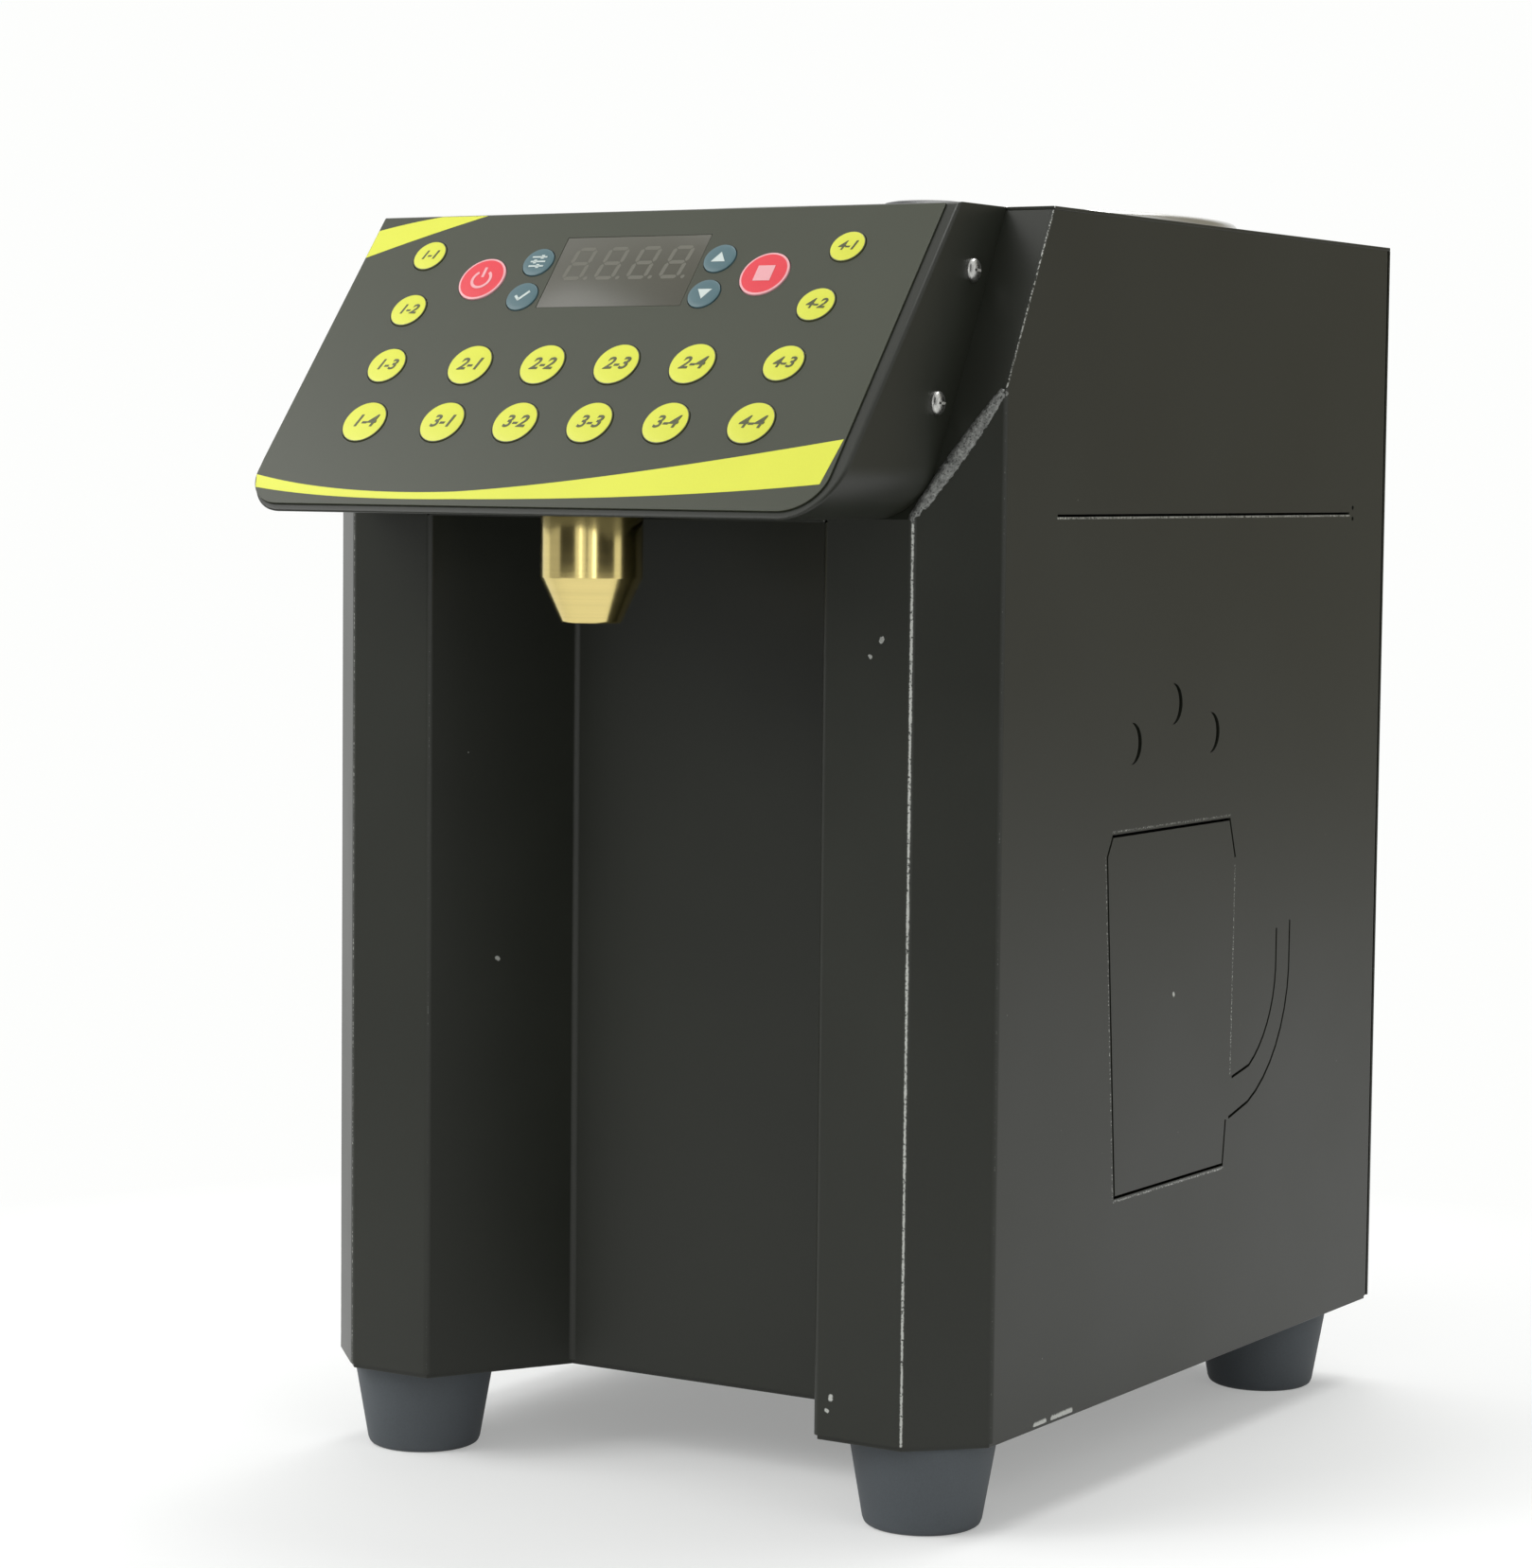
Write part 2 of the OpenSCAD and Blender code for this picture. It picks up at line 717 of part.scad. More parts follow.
module pump_bores(r, x0, x1) {
    for (dz = [-gear_r, gear_r]) translate([x0, 0, dz]) rotate([0, 90, 0]) cylinder(r = r, h = x1 - x0);
}

module pump_screw_spots() {
    for (y = [-1, 1] * (pump_hy - pump_screw_inset), z = [-1, 1] * (pump_hz - pump_screw_inset))
        translate([0, y, z]) children();
}

module pump_screw_holes() {
    pump_screw_spots() rotate([0, 90, 0]) cylinder(d = screw_d + 2 * screw_gap, h = 80, center = true);
}

// The gear axes run along X, the drive gear below and the driven gear above.
module pump_housing() {
    color("#b9bdc0") at_pump() difference() {
        union() {
            translate([gear_x, -pump_hy, -pump_hz]) cube([housing_x - gear_x, 2 * pump_hy, 2 * pump_hz]);
            translate([0, -pump_hy, 0]) rotate([90, 0, 0]) cylinder(r = barb_r + barb_stop, h = 3);
            translate([0, -pump_hy, 0]) rotate([90, 0, 0]) cylinder(r = barb_r, h = 15);
        }
        pump_bores(gear_tip + 0.15, gear_x - 1, gear_x + gear_w + 0.2);
        pump_bores(shaft_d / 2 + running_gap, gear_x, housing_x + 1);
        translate([0, pump_hy + 1, 0]) rotate([90, 0, 0]) cylinder(r = stub_r - 1.5, h = pump_hy - 6);
        translate([-4, 0, 0]) rotate([-90, 0, 0]) cylinder(r = port_r, h = pump_hy);
        rotate([90, 0, 0]) cylinder(r = barb_bore, h = 60);
        pump_screw_holes();
    }
}

module pump_cover() {
    color("#a9adb0") at_pump() difference() {
        translate([gear_x - cover_t, -pump_hy, -pump_hz]) cube([cover_t, 2 * pump_hy, 2 * pump_hz]);
        pump_bores(shaft_d / 2 + running_gap, gear_x - cover_t + 1.5, gear_x + 1);
        pump_screw_holes();
    }
}

module pump_screws() {
    grip = housing_x - gear_x + cover_t + bracket_t * 2;
    color(bright_colour) at_pump() pump_screw_spots()
        translate([gear_x - cover_t, 0, 0]) rotate([0, -90, 0]) pan_screw(grip);
}

module drive_gear() {
    color("#c4c4c0") at_pump() translate([0, 0, -gear_r]) {
        translate([gear_x + 0.1, 0, 0]) rotate([90, 0, 90]) linear_extrude(gear_w) gear_outline();
        translate([gear_x - cover_t + 2, 0, 0]) rotate([0, 90, 0])
            cylinder(d = shaft_d, h = motor_x + 14 - gear_x + cover_t - 2);
    }
}

module driven_gear() {
    color("#c4c4c0") at_pump() translate([0, 0, gear_r]) {
        translate([gear_x + 0.1, 0, 0]) rotate([90, 0, 90]) linear_extrude(gear_w)
            rotate(180 / teeth) gear_outline();
        translate([gear_x - cover_t + 2, 0, 0]) rotate([0, 90, 0])
            cylinder(d = shaft_d, h = housing_x - gear_x + cover_t - 2.5);
    }
}

module pump_motor() {
    gearbox = 26;
    color("#8d9194") at_pump() translate([motor_x, 0, -gear_r]) rotate([0, 90, 0]) difference() {
        union() {
            cylinder(d = motor_d, h = gearbox);
            translate([0, 0, gearbox - eps]) cylinder(d = motor_d - 4, h = motor_len - gearbox - 4 + eps);
            translate([0, 0, motor_len - 4 - eps]) cylinder(d = 16, h = 4 + eps);
        }
        translate([0, 0, -1]) cylinder(r = shaft_d / 2 + running_gap, h = 16);
    }
}

module pump_bracket() {
    flat = 2 * bracket_t;
    color(steel_colour) in_body() difference() {
        union() {
            translate([housing_x, pump_y - 28, base_t]) cube([flat, 56, pump_z + pump_hz - base_t]);
            translate([housing_x, pump_y - 28, base_t]) cube([40, 56, flat]);
        }
        translate([0, pump_y, pump_z]) {
            pump_bores(shaft_d / 2 + 1, housing_x - 1, housing_x + flat + 1);
            pump_screw_holes();
        }
    }
}

// ---- syrup hose and nozzle -----------------------------------------------

module hose_route(r) {
    top_y = hose_y - hose_bend;
    low_y = hose_y + hose_bend;
    translate([0, top_y, hose_z]) rotate([90, 0, 0]) cylinder(r = r, h = top_y - hose_start);
    translate([0, top_y, hose_z - hose_bend]) rotate([0, -90, 0]) rotate_extrude(angle = 90)
        translate([hose_bend, 0]) circle(r);
    translate([0, hose_y, pump_z + hose_bend])
        cylinder(r = r, h = hose_z - pump_z - 2 * hose_bend);
    translate([0, low_y, pump_z + hose_bend]) rotate([0, -90, 0]) rotate(180) rotate_extrude(angle = 90)
        translate([hose_bend, 0]) circle(r);
    translate([0, low_y, pump_z]) rotate([-90, 0, 0]) cylinder(r = r, h = hose_end - low_y);
}

module syrup_hose() {
    color("#d9d4c4") in_body() difference() {
        hose_route(hose_d / 2);
        hose_route(hose_bore / 2);
    }
}

module hose_clamps() {
    color(bright_colour) in_body() for (y = [hose_start + 2, hose_end - 8])
        translate([0, y, y < bay_d ? hose_z : pump_z]) rotate([-90, 0, 0]) difference() {
            union() {
                cylinder(r = hose_d / 2 + 1.2, h = 6);
                translate([-2, -hose_d / 2 - 5, 0]) cube([4, 4.5, 6]);
            }
            translate([0, 0, -1]) cylinder(r = hose_d / 2 + 0.05, h = 8);
        }
}

module at_nozzle() {
    in_body() translate([0, -nozzle_out, head_z]) children();
}

module nozzle() {
    low = -nozzle_body - nozzle_cone;
    profile = [
        [nozzle_bore / 2, low], [nozzle_tip_d / 2 - 0.8, low], [nozzle_tip_d / 2, low + 0.8],
        [nozzle_d / 2, -nozzle_body], [nozzle_d / 2, -0.6], [nozzle_d / 2 - 0.6, 0],
        [neck_r, 0], [neck_r, neck_h], [nozzle_bore / 2, neck_h]
    ];
    color(brass_colour) at_nozzle() rotate_extrude() polygon(profile);
}

module nozzle_nut() {
    color(brass_colour) at_nozzle() translate([0, 0, sheet]) difference() {
        cylinder(d = 26, h = 6, $fn = 6);
        translate([0, 0, -1]) cylinder(r = neck_r + 0.1, h = 10);
    }
}

module nozzle_elbow() {
    color("#e4e2da") at_nozzle() difference() {
        union() {
            translate([0, 0, neck_h]) cylinder(r = 7, h = elbow_h);
            translate([0, 0, elbow_z]) rotate([-90, 0, 0]) cylinder(r = barb_r, h = 26);
            translate([0, 0, elbow_z]) rotate([-90, 0, 0]) cylinder(r = barb_r + barb_stop, h = 11);
        }
        translate([0, 0, neck_h - 1]) cylinder(r = nozzle_bore / 2, h = elbow_z - neck_h + 1);
        translate([0, 0, elbow_z]) rotate([-90, 0, 0]) cylinder(r = barb_bore, h = 40);
    }
}

// ---- electrics -----------------------------------------------------------

module power_supply() {
    box = [92, 74, 36];
    place = [hw - 12 - box[0], body_d - foot_inset - 20 - box[1], base_t];
    color("#a4a8aa") in_body() translate(place) difference() {
        cube(box);
        for (i = [0:7]) translate([10 + 9 * i, 12, box[2] - 1]) cube([4, box[1] - 24, 2]);
    }
}

module power_inlet() {
    color("#18181a") in_body() translate([inlet_x, body_d, rear_z]) {
        difference() {
            union() {
                translate([-13.5, -22, -10]) cube([27, 22 + eps, 20]);
                translate([-17, 0, -13]) cube([34, inlet_proud, 26]);
            }
            translate([-inlet_plug[0] / 2, -18, -inlet_plug[1] / 2])
                cube([inlet_plug[0], 40, inlet_plug[1]]);
        }
        for (pin = [[-7, -2], [7, -2], [0, 2]])
            translate([pin[0] - 1, -18 - eps, pin[1] - 2]) cube([2, 13, 4]);
    }
}

module switch_frame() {
    color("#18181a") in_body() translate([switch_x, body_d, rear_z]) difference() {
        union() {
            translate([-9.5, -18, -6.5]) cube([19, 18 + eps, 13]);
            translate([-11, 0, -8]) cube([22, 1.6, 16]);
        }
        translate([-8.2, -9, -5.2]) cube([16.4, 30, 10.4]);
        translate([0, -rocker_depth, 0]) rotate([0, 90, 0])
            cylinder(r = rocker_pin_r + running_gap, h = 18.4, center = true);
    }
}

// The rocker turns on two small pins at its sides, and rests with its upper half pressed in.
module switch_rocker() {
    face = [[-4, -4.3], [3.2, -4.7], [1.8, 0], [3.2, 4.7], [-4, 4.3]];
    color("#b3242a") in_body() translate([switch_x, body_d - rocker_depth, rear_z]) {
        along_x(-7.9, 7.9) rotate(rocker_tilt) polygon(face);
        rotate([0, 90, 0]) cylinder(r = rocker_pin_r, h = 18, center = true);
    }
}

casing();
upper_front();
top_panel();
base_plate();
rear_cover();
case_screws();
feet();
foot_bolts();
head_cover();
head_brackets();
control_overlay();
display_window();
control_board();
board_spacers();
for (index = [0:len(layout) - 1])
    key(index);
syrup_tank();
heater_band();
insulation_jacket();
temperature_probe();
feed_pipe();
pump_housing();
pump_cover();
pump_screws();
drive_gear();
driven_gear();
pump_motor();
pump_bracket();
syrup_hose();
hose_clamps();
nozzle();
nozzle_nut();
nozzle_elbow();
power_supply();
switch_frame();
switch_rocker();
power_inlet();
lid();
lid_knob();
lid_seal();
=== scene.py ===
"""A counter-top syrup dispenser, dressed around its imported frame.

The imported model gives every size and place. This script rounds the bent sheets,
builds the keypad, the nozzle, the lid and the feet as finished pieces, gives each
surface its material, and sets up the floor, the lights and the camera.
"""

import json
import logging
import math
from collections.abc import Callable, Sequence
from dataclasses import dataclass, field
from enum import Enum

import bmesh
import bpy
from mathutils import Matrix, Vector, noise


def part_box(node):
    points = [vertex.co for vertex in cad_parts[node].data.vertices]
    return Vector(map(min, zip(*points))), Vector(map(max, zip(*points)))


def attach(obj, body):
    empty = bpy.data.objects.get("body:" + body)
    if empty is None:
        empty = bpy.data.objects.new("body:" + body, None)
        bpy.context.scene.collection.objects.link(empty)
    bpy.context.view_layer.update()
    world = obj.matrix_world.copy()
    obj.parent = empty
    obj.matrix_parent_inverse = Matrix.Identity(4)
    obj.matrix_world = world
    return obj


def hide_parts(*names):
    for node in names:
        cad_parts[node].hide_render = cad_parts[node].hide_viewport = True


LOG = logging.getLogger("dispenser")
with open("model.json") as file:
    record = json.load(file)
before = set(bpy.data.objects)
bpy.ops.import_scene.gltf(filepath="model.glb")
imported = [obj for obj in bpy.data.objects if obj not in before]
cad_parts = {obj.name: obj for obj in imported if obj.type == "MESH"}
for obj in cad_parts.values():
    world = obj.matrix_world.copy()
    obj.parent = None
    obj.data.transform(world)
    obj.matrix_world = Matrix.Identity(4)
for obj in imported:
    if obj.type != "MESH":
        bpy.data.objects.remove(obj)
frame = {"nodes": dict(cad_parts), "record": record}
MM = 0.001


# ---- sizes ----------------------------------------------------------------


@dataclass(frozen=True)
class Cabinet:
    """The cabinet's sizes in metres; what the frame can tell is measured on it."""

    half: float
    front: float
    back: float
    base: float
    head_half: float
    head_front: float
    head_low: float
    sheet: float = 1.2 * MM
    corner: float = 21 * MM
    bay_front: float = 77 * MM
    bay_back: float = 50 * MM
    bay_depth: float = 48 * MM
    slope_run: float = 51 * MM
    panel_setback: float = 21 * MM
    head_corner: float = 17 * MM

    @classmethod
    def measured(cls) -> "Cabinet":
        """Reads the sizes off the frame's own boxes.

        Returns:
            The cabinet as it is packed.
        """
        low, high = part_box("casing")
        head_low, head_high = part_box("head_cover")
        return cls(
            half=high.x,
            front=low.y,
            back=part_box("rear_cover")[1].y,
            base=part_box("base_plate")[0].z,
            head_half=head_high.x,
            head_front=head_low.y,
            head_low=head_low.z,
        )

    @property
    def roof(self) -> float:
        """Height of the top panel's upper face."""
        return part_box("top_panel")[1].z

    @property
    def panel(self) -> Matrix:
        """Places X across, Y up and Z out of the keypad panel, from its top edge."""
        top_edge = self.front + self.panel_setback
        tilt = math.atan2(top_edge - self.head_front, self.roof - self.head_low)
        turn = Matrix.Rotation(math.pi / 2 - tilt, 4, "X")
        return Matrix.Translation((0, top_edge, self.roof)) @ turn

    @property
    def slope_foot(self) -> Vector:
        """Where the sloped front, the right leg face and the corner meet."""
        return Vector((self.half - self.corner, self.front, self.head_low))

    @property
    def slope_knee(self) -> Vector:
        """Where the sloped front, the corner and the right side meet."""
        rise = self.corner * (self.roof - self.head_low) / self.slope_run
        return Vector((self.half, self.front + self.corner, self.head_low + rise))

    @property
    def slope_head(self) -> Vector:
        """Where the sloped front meets the right side at the top."""
        return Vector((self.half, self.front + self.slope_run, self.roof))


CABINET = Cabinet.measured()


# ---- shader building blocks -----------------------------------------------


class Shader:
    """Adds and joins nodes in one material or group."""

    def __init__(self, tree: bpy.types.NodeTree) -> None:
        """Takes the node tree to work in."""
        self.tree = tree

    def add(self, kind: str, **settings: object) -> bpy.types.Node:
        """Adds a node.

        Args:
            kind: The node's type name.
            settings: Properties of the node, by name.

        Returns:
            The new node.
        """
        node = self.tree.nodes.new(kind)
        for name, value in settings.items():
            setattr(node, name, value)
        return node

    def join(self, source: bpy.types.NodeSocket, target: bpy.types.NodeSocket) -> None:
        """Links an output to an input."""
        self.tree.links.new(source, target)

    def maths(
        self, operation: str, *values: object, clamp: bool = False
    ) -> bpy.types.NodeSocket:
        """Adds a Math node.

        Args:
            operation: The operation's name.
            values: Numbers or sockets, in the order of the inputs.
            clamp: Whether the result stays between 0 and 1.

        Returns:
            The result.
        """
        node = self.add("ShaderNodeMath", operation=operation, use_clamp=clamp)
        self.feed(node, values)
        return node.outputs[0]

    def vector(self, operation: str, *values: object) -> bpy.types.Node:
        """Adds a Vector Math node.

        Args:
            operation: The operation's name.
            values: Vectors or sockets, in the order of the inputs.

        Returns:
            The node, because its result may be a vector or a number.
        """
        node = self.add("ShaderNodeVectorMath", operation=operation)
        self.feed(node, values)
        return node

    def blend(self, factor: object, first: object, second: object) -> bpy.types.NodeSocket:
        """Mixes two colours.

        Args:
            factor: A number or socket from 0 to 1.
            first: The colour or socket at 0.
            second: The colour or socket at 1.

        Returns:
            The mixed colour.
        """
        node = self.add("ShaderNodeMix", data_type="RGBA")
        for index, value in zip((0, 6, 7), (factor, first, second)):
            self.put(node.inputs[index], value)
        return node.outputs[2]

    def spread(self, value: object, low: float, high: float) -> bpy.types.NodeSocket:
        """Maps a value from 0..1 to low..high.

        Args:
            value: A number or socket from 0 to 1.
            low: The result at 0.
            high: The result at 1.

        Returns:
            The mapped value.
        """
        node = self.add("ShaderNodeMapRange")
        self.put(node.inputs["Value"], value)
        node.inputs["To Min"].default_value = low
        node.inputs["To Max"].default_value = high
        return node.outputs[0]

    def feed(self, node: bpy.types.Node, values: Sequence[object]) -> None:
        """Sets or links a node's inputs in order."""
        for socket, value in zip(node.inputs, values):
            self.put(socket, value)

    def put(self, socket: bpy.types.NodeSocket, value: object) -> None:
        """Links a socket, or sets a plain value.

        Args:
            socket: The input.
            value: Another socket, a number, a vector or a colour.
        """
        if isinstance(value, bpy.types.NodeSocket):
            self.join(value, socket)
        elif isinstance(value, (int, float)):
            socket.default_value = value
        else:
            colour = socket.type == "RGBA" and len(value) == 3
            socket.default_value = (*value, 1) if colour else value


class Group:
    """A shader node group with named inputs and outputs."""

    def __init__(self, name: str, inputs: dict[str, str], outputs: dict[str, str]) -> None:
        """Makes the group's tree and its sockets.

        Args:
            name: The group's name.
            inputs: Socket types by name.
            outputs: Socket types by name.
        """
        self.tree = bpy.data.node_groups.new(name, "ShaderNodeTree")
        for label, kind in inputs.items():
            self.tree.interface.new_socket(label, in_out="INPUT", socket_type=kind)
        for label, kind in outputs.items():
            self.tree.interface.new_socket(label, in_out="OUTPUT", socket_type=kind)
        self.shader = Shader(self.tree)
        self.entry = self.shader.add("NodeGroupInput")
        self.exit = self.shader.add("NodeGroupOutput")

    def placed(self, shader: Shader, **values: object) -> bpy.types.Node:
        """Puts the group into a material.

        Args:
            shader: The material's shader.
            values: Numbers, vectors or sockets by input name, with _ for a space.

        Returns:
            The group node.
        """
        node = shader.add("ShaderNodeGroup", node_tree=self.tree)
        for label, value in values.items():
            shader.put(node.inputs[label.replace("_", " ")], value)
        return node


FLOAT = "NodeSocketFloat"
VECTOR = "NodeSocketVector"


def grain_group() -> Group:
    """Makes the group for fine and broad unevenness of a surface.

    Returns:
        The group; both its outputs run from 0 to 1.
    """
    group = Group(
        "surface_grain",
        {"Vector": VECTOR, "Fine Scale": FLOAT, "Broad Scale": FLOAT},
        {"Fine": FLOAT, "Broad": FLOAT},
    )
    for label, scale, detail in (("Fine", "Fine Scale", 3), ("Broad", "Broad Scale", 4)):
        cloud = group.shader.add("ShaderNodeTexNoise")
        cloud.inputs["Detail"].default_value = detail
        group.shader.join(group.entry.outputs["Vector"], cloud.inputs["Vector"])
        group.shader.join(group.entry.outputs[scale], cloud.inputs["Scale"])
        group.shader.join(cloud.outputs["Fac"], group.exit.inputs[label])
    return group


def line_group() -> Group:
    """Makes the group for a speckled line along a straight line: paint rubbed through at bends and
    chips, and painted highlights beside cuts.

    Returns:
        The group; its mask is broken and speckled.
    """
    group = Group(
        "wear_and_glints_line",
        {"Vector": VECTOR, "Start": VECTOR, "End": VECTOR, "Width": FLOAT, "Cover": FLOAT},
        {"Mask": FLOAT},
    )
    shader, entry = group.shader, group.entry
    run = shader.vector("SUBTRACT", entry.outputs["End"], entry.outputs["Start"]).outputs[0]
    reach = shader.vector("SUBTRACT", entry.outputs["Vector"], entry.outputs["Start"]).outputs[0]
    along = shader.vector("DOT_PRODUCT", reach, run).outputs["Value"]
    whole = shader.vector("DOT_PRODUCT", run, run).outputs["Value"]
    part = shader.maths("DIVIDE", along, whole, clamp=True)
    scaled = shader.add("ShaderNodeVectorMath", operation="SCALE")
    shader.join(run, scaled.inputs[0])
    shader.join(part, scaled.inputs["Scale"])
    away = shader.vector("SUBTRACT", reach, scaled.outputs[0]).outputs[0]
    distance = shader.vector("LENGTH", away).outputs["Value"]
    rough = shader.add("ShaderNodeTexNoise")
    rough.inputs["Scale"].default_value = 1500
    rough.inputs["Detail"].default_value = 4
    shader.join(entry.outputs["Vector"], rough.inputs["Vector"])
    patch = shader.add("ShaderNodeTexNoise")
    patch.inputs["Scale"].default_value = 90
    shader.join(entry.outputs["Vector"], patch.inputs["Vector"])
    uneven = shader.maths("MULTIPLY_ADD", rough.outputs["Fac"], 0.75, 0.25)
    uneven = shader.maths("MULTIPLY_ADD", patch.outputs["Fac"], 0.5, uneven)
    wide = shader.maths("MULTIPLY", entry.outputs["Width"], uneven)
    near = shader.maths("SUBTRACT", 1.0, shader.maths("DIVIDE", distance, wide), clamp=True)
    centred = shader.maths("SUBTRACT", rough.outputs["Fac"], 0.5)
    speckle = shader.maths("ADD", entry.outputs["Cover"], centred)
    sharp = shader.maths("MULTIPLY", shader.maths("SUBTRACT", speckle, 0.42), 9.0, clamp=True)
    firm = shader.maths("MULTIPLY", near, 2.2, clamp=True)
    mask = shader.maths("MULTIPLY", firm, sharp, clamp=True)
    shader.join(mask, group.exit.inputs["Mask"])
    return group


def dust_and_pit_shade_group() -> Group:
    """Makes the group for scattered specks.

    Returns:
        The group; Share tells how many of its cells hold a speck.
    """
    inputs = {"Vector": VECTOR, "Scale": FLOAT, "Size": FLOAT, "Share": FLOAT}
    group = Group("dust_and_pit_shade_specks", inputs, {"Mask": FLOAT})
    shader, entry = group.shader, group.entry
    cells = shader.add("ShaderNodeTexVoronoi")
    shader.join(entry.outputs["Vector"], cells.inputs["Vector"])
    shader.join(entry.outputs["Scale"], cells.inputs["Scale"])
    lot = shader.add("ShaderNodeSeparateColor")
    shader.join(cells.outputs["Color"], lot.inputs[0])
    chosen = shader.maths("LESS_THAN", lot.outputs[0], entry.outputs["Share"])
    grown = shader.maths("MULTIPLY", entry.outputs["Size"], lot.outputs[1])
    inside = shader.maths("LESS_THAN", cells.outputs["Distance"], grown)
    shader.join(shader.maths("MULTIPLY", chosen, inside), group.exit.inputs["Mask"])
    return group


class Effects:
    """The node groups that several materials share."""

    grain = grain_group()
    line = line_group()
    dust_and_pit_shade = dust_and_pit_shade_group()


# ---- finishes ---------------------------------------------------------------


class Run(Enum):
    """Which way a surface's grain runs."""

    EVEN = (1.0, 1.0, 1.0)
    ACROSS = (0.03, 1.0, 1.0)
    UPRIGHT = (1.0, 1.0, 0.03)
    TURNED = (1.0, 1.0, 0.0)


@dataclass(frozen=True)
class Finish:
    """A surface with grain, uneven colour and gloss, and a fine relief."""

    name: str
    colour: tuple[float, float, float]
    roughness: tuple[float, float]
    metallic: float = 0.0
    shade: float = 0.25
    fine: float = 900.0
    broad: float = 22.0
    relief: float = 0.15
    height: float = 0.02 * MM
    run: Run = Run.EVEN
    centre: tuple[float, float] = (0.0, 0.0)
    gloss: float = 0.5
    dust_and_pit_shade: float = 0.0
    specks: tuple[float, float, float] = (70.0, 0.024, 0.16)
    # Lines of rubbed paint and of painted highlight, then the colour that they and the specks blend
    # to: metal, dust, painted highlight, or painted shade in weld pits.
    wear_and_glints: tuple["WornEdge", ...] = ()
    bare_and_painted_light: tuple[float, float, float] = (0.44, 0.45, 0.42)

    def build(self) -> bpy.types.Material:
        """Builds the material.

        Returns:
            The finished node material.
        """
        material = bpy.data.materials.new(self.name)
        material.use_nodes = True
        shader = Shader(material.node_tree)
        surface = material.node_tree.nodes["Principled BSDF"]
        place = shader.add("ShaderNodeTexCoord").outputs["Object"]
        along_grain = self._grain_place(shader, place)
        grain = Effects.grain.placed(
            shader, Vector=along_grain, Fine_Scale=self.fine, Broad_Scale=self.broad
        )
        dark = tuple(c * (1 - self.shade) for c in self.colour)
        light = tuple(min(1.0, c * (1 + self.shade)) for c in self.colour)
        broad_part = shader.maths("MULTIPLY", grain.outputs["Broad"], 0.6)
        mood = shader.maths("MULTIPLY_ADD", grain.outputs["Fine"], 0.4, broad_part)
        colour = shader.blend(shader.spread(mood, -0.6, 1.6), dark, light)
        rough = shader.spread(grain.outputs["Broad"], *self.roughness)
        metal = None
        # Specks: pale dust on paint, rubber and film; on the weld, dark specks as painted shade in
        # its pits.
        if self.dust_and_pit_shade:
            scale, size, share = self.specks
            specks = Effects.dust_and_pit_shade.placed(
                shader, Vector=place, Scale=scale, Size=size, Share=share
            )
            specks = shader.maths("MULTIPLY", specks.outputs["Mask"], self.dust_and_pit_shade)
            colour = shader.blend(specks, colour, self.bare_and_painted_light)
        # Paint rubbed to metal at bends and chips, and painted highlights beside the side's cuts,
        # share one pale blend.
        if self.wear_and_glints:
            mask = self._wear_and_glints_mask(shader, place)
            colour = shader.blend(mask, colour, self.bare_and_painted_light)
            metal = shader.maths("MULTIPLY", mask, 0.5)
            rough = shader.maths("MULTIPLY_ADD", mask, -0.1, rough)
        surface.inputs["Metallic"].default_value = self.metallic
        surface.inputs["Specular IOR Level"].default_value = self.gloss
        if metal is not None:
            shader.join(metal, surface.inputs["Metallic"])
        shader.join(colour, surface.inputs["Base Color"])
        shader.join(rough, surface.inputs["Roughness"])
        relief = shader.add("ShaderNodeBump")
        relief.inputs["Strength"].default_value = self.relief
        relief.inputs["Distance"].default_value = self.height
        shader.join(grain.outputs["Fine"], relief.inputs["Height"])
        shader.join(relief.outputs[0], surface.inputs["Normal"])
        return material

    def _grain_place(
        self, shader: Shader, place: bpy.types.NodeSocket
    ) -> bpy.types.NodeSocket:
        """Stretches the object's own coordinates along the grain.

        Args:
            shader: The material's shader.
            place: The coordinates.

        Returns:
            The stretched coordinates, or radius and height for turned grain.
        """
        if self.run is not Run.TURNED:
            return shader.vector("MULTIPLY", place, self.run.value).outputs[0]
        centred = shader.vector("SUBTRACT", place, (*self.centre, 0.0)).outputs[0]
        flat = shader.vector("MULTIPLY", centred, self.run.value).outputs[0]
        radius = shader.vector("LENGTH", flat).outputs["Value"]
        split = shader.add("ShaderNodeSeparateXYZ")
        shader.join(place, split.inputs[0])
        ring = shader.add("ShaderNodeCombineXYZ")
        shader.join(radius, ring.inputs[0])
        shader.join(split.outputs[2], ring.inputs[1])
        return ring.outputs[0]

    def _wear_and_glints_mask(
        self, shader: Shader, place: bpy.types.NodeSocket
    ) -> bpy.types.NodeSocket:
        """Joins the masks of all wear lines and painted highlight lines.

        Args:
            shader: The material's shader.
            place: The object's own coordinates.

        Returns:
            The joined mask.
        """
        whole: bpy.types.NodeSocket | None = None
        for edge in self.wear_and_glints:
            line = Effects.line.placed(
                shader,
                Vector=place,
                Start=edge.start,
                End=edge.end,
                Width=edge.width,
                Cover=edge.cover,
            )
            mask = line.outputs["Mask"]
            whole = mask if whole is None else shader.maths("MAXIMUM", whole, mask)
        return whole


@dataclass(frozen=True)
class WornEdge:
    """A speckled line: paint rubbed through at a bend or chip, and also a painted highlight beside
    a cut.
    """

    start: tuple[float, float, float]
    end: tuple[float, float, float]
    width: float = 0.7 * MM
    cover: float = 0.5


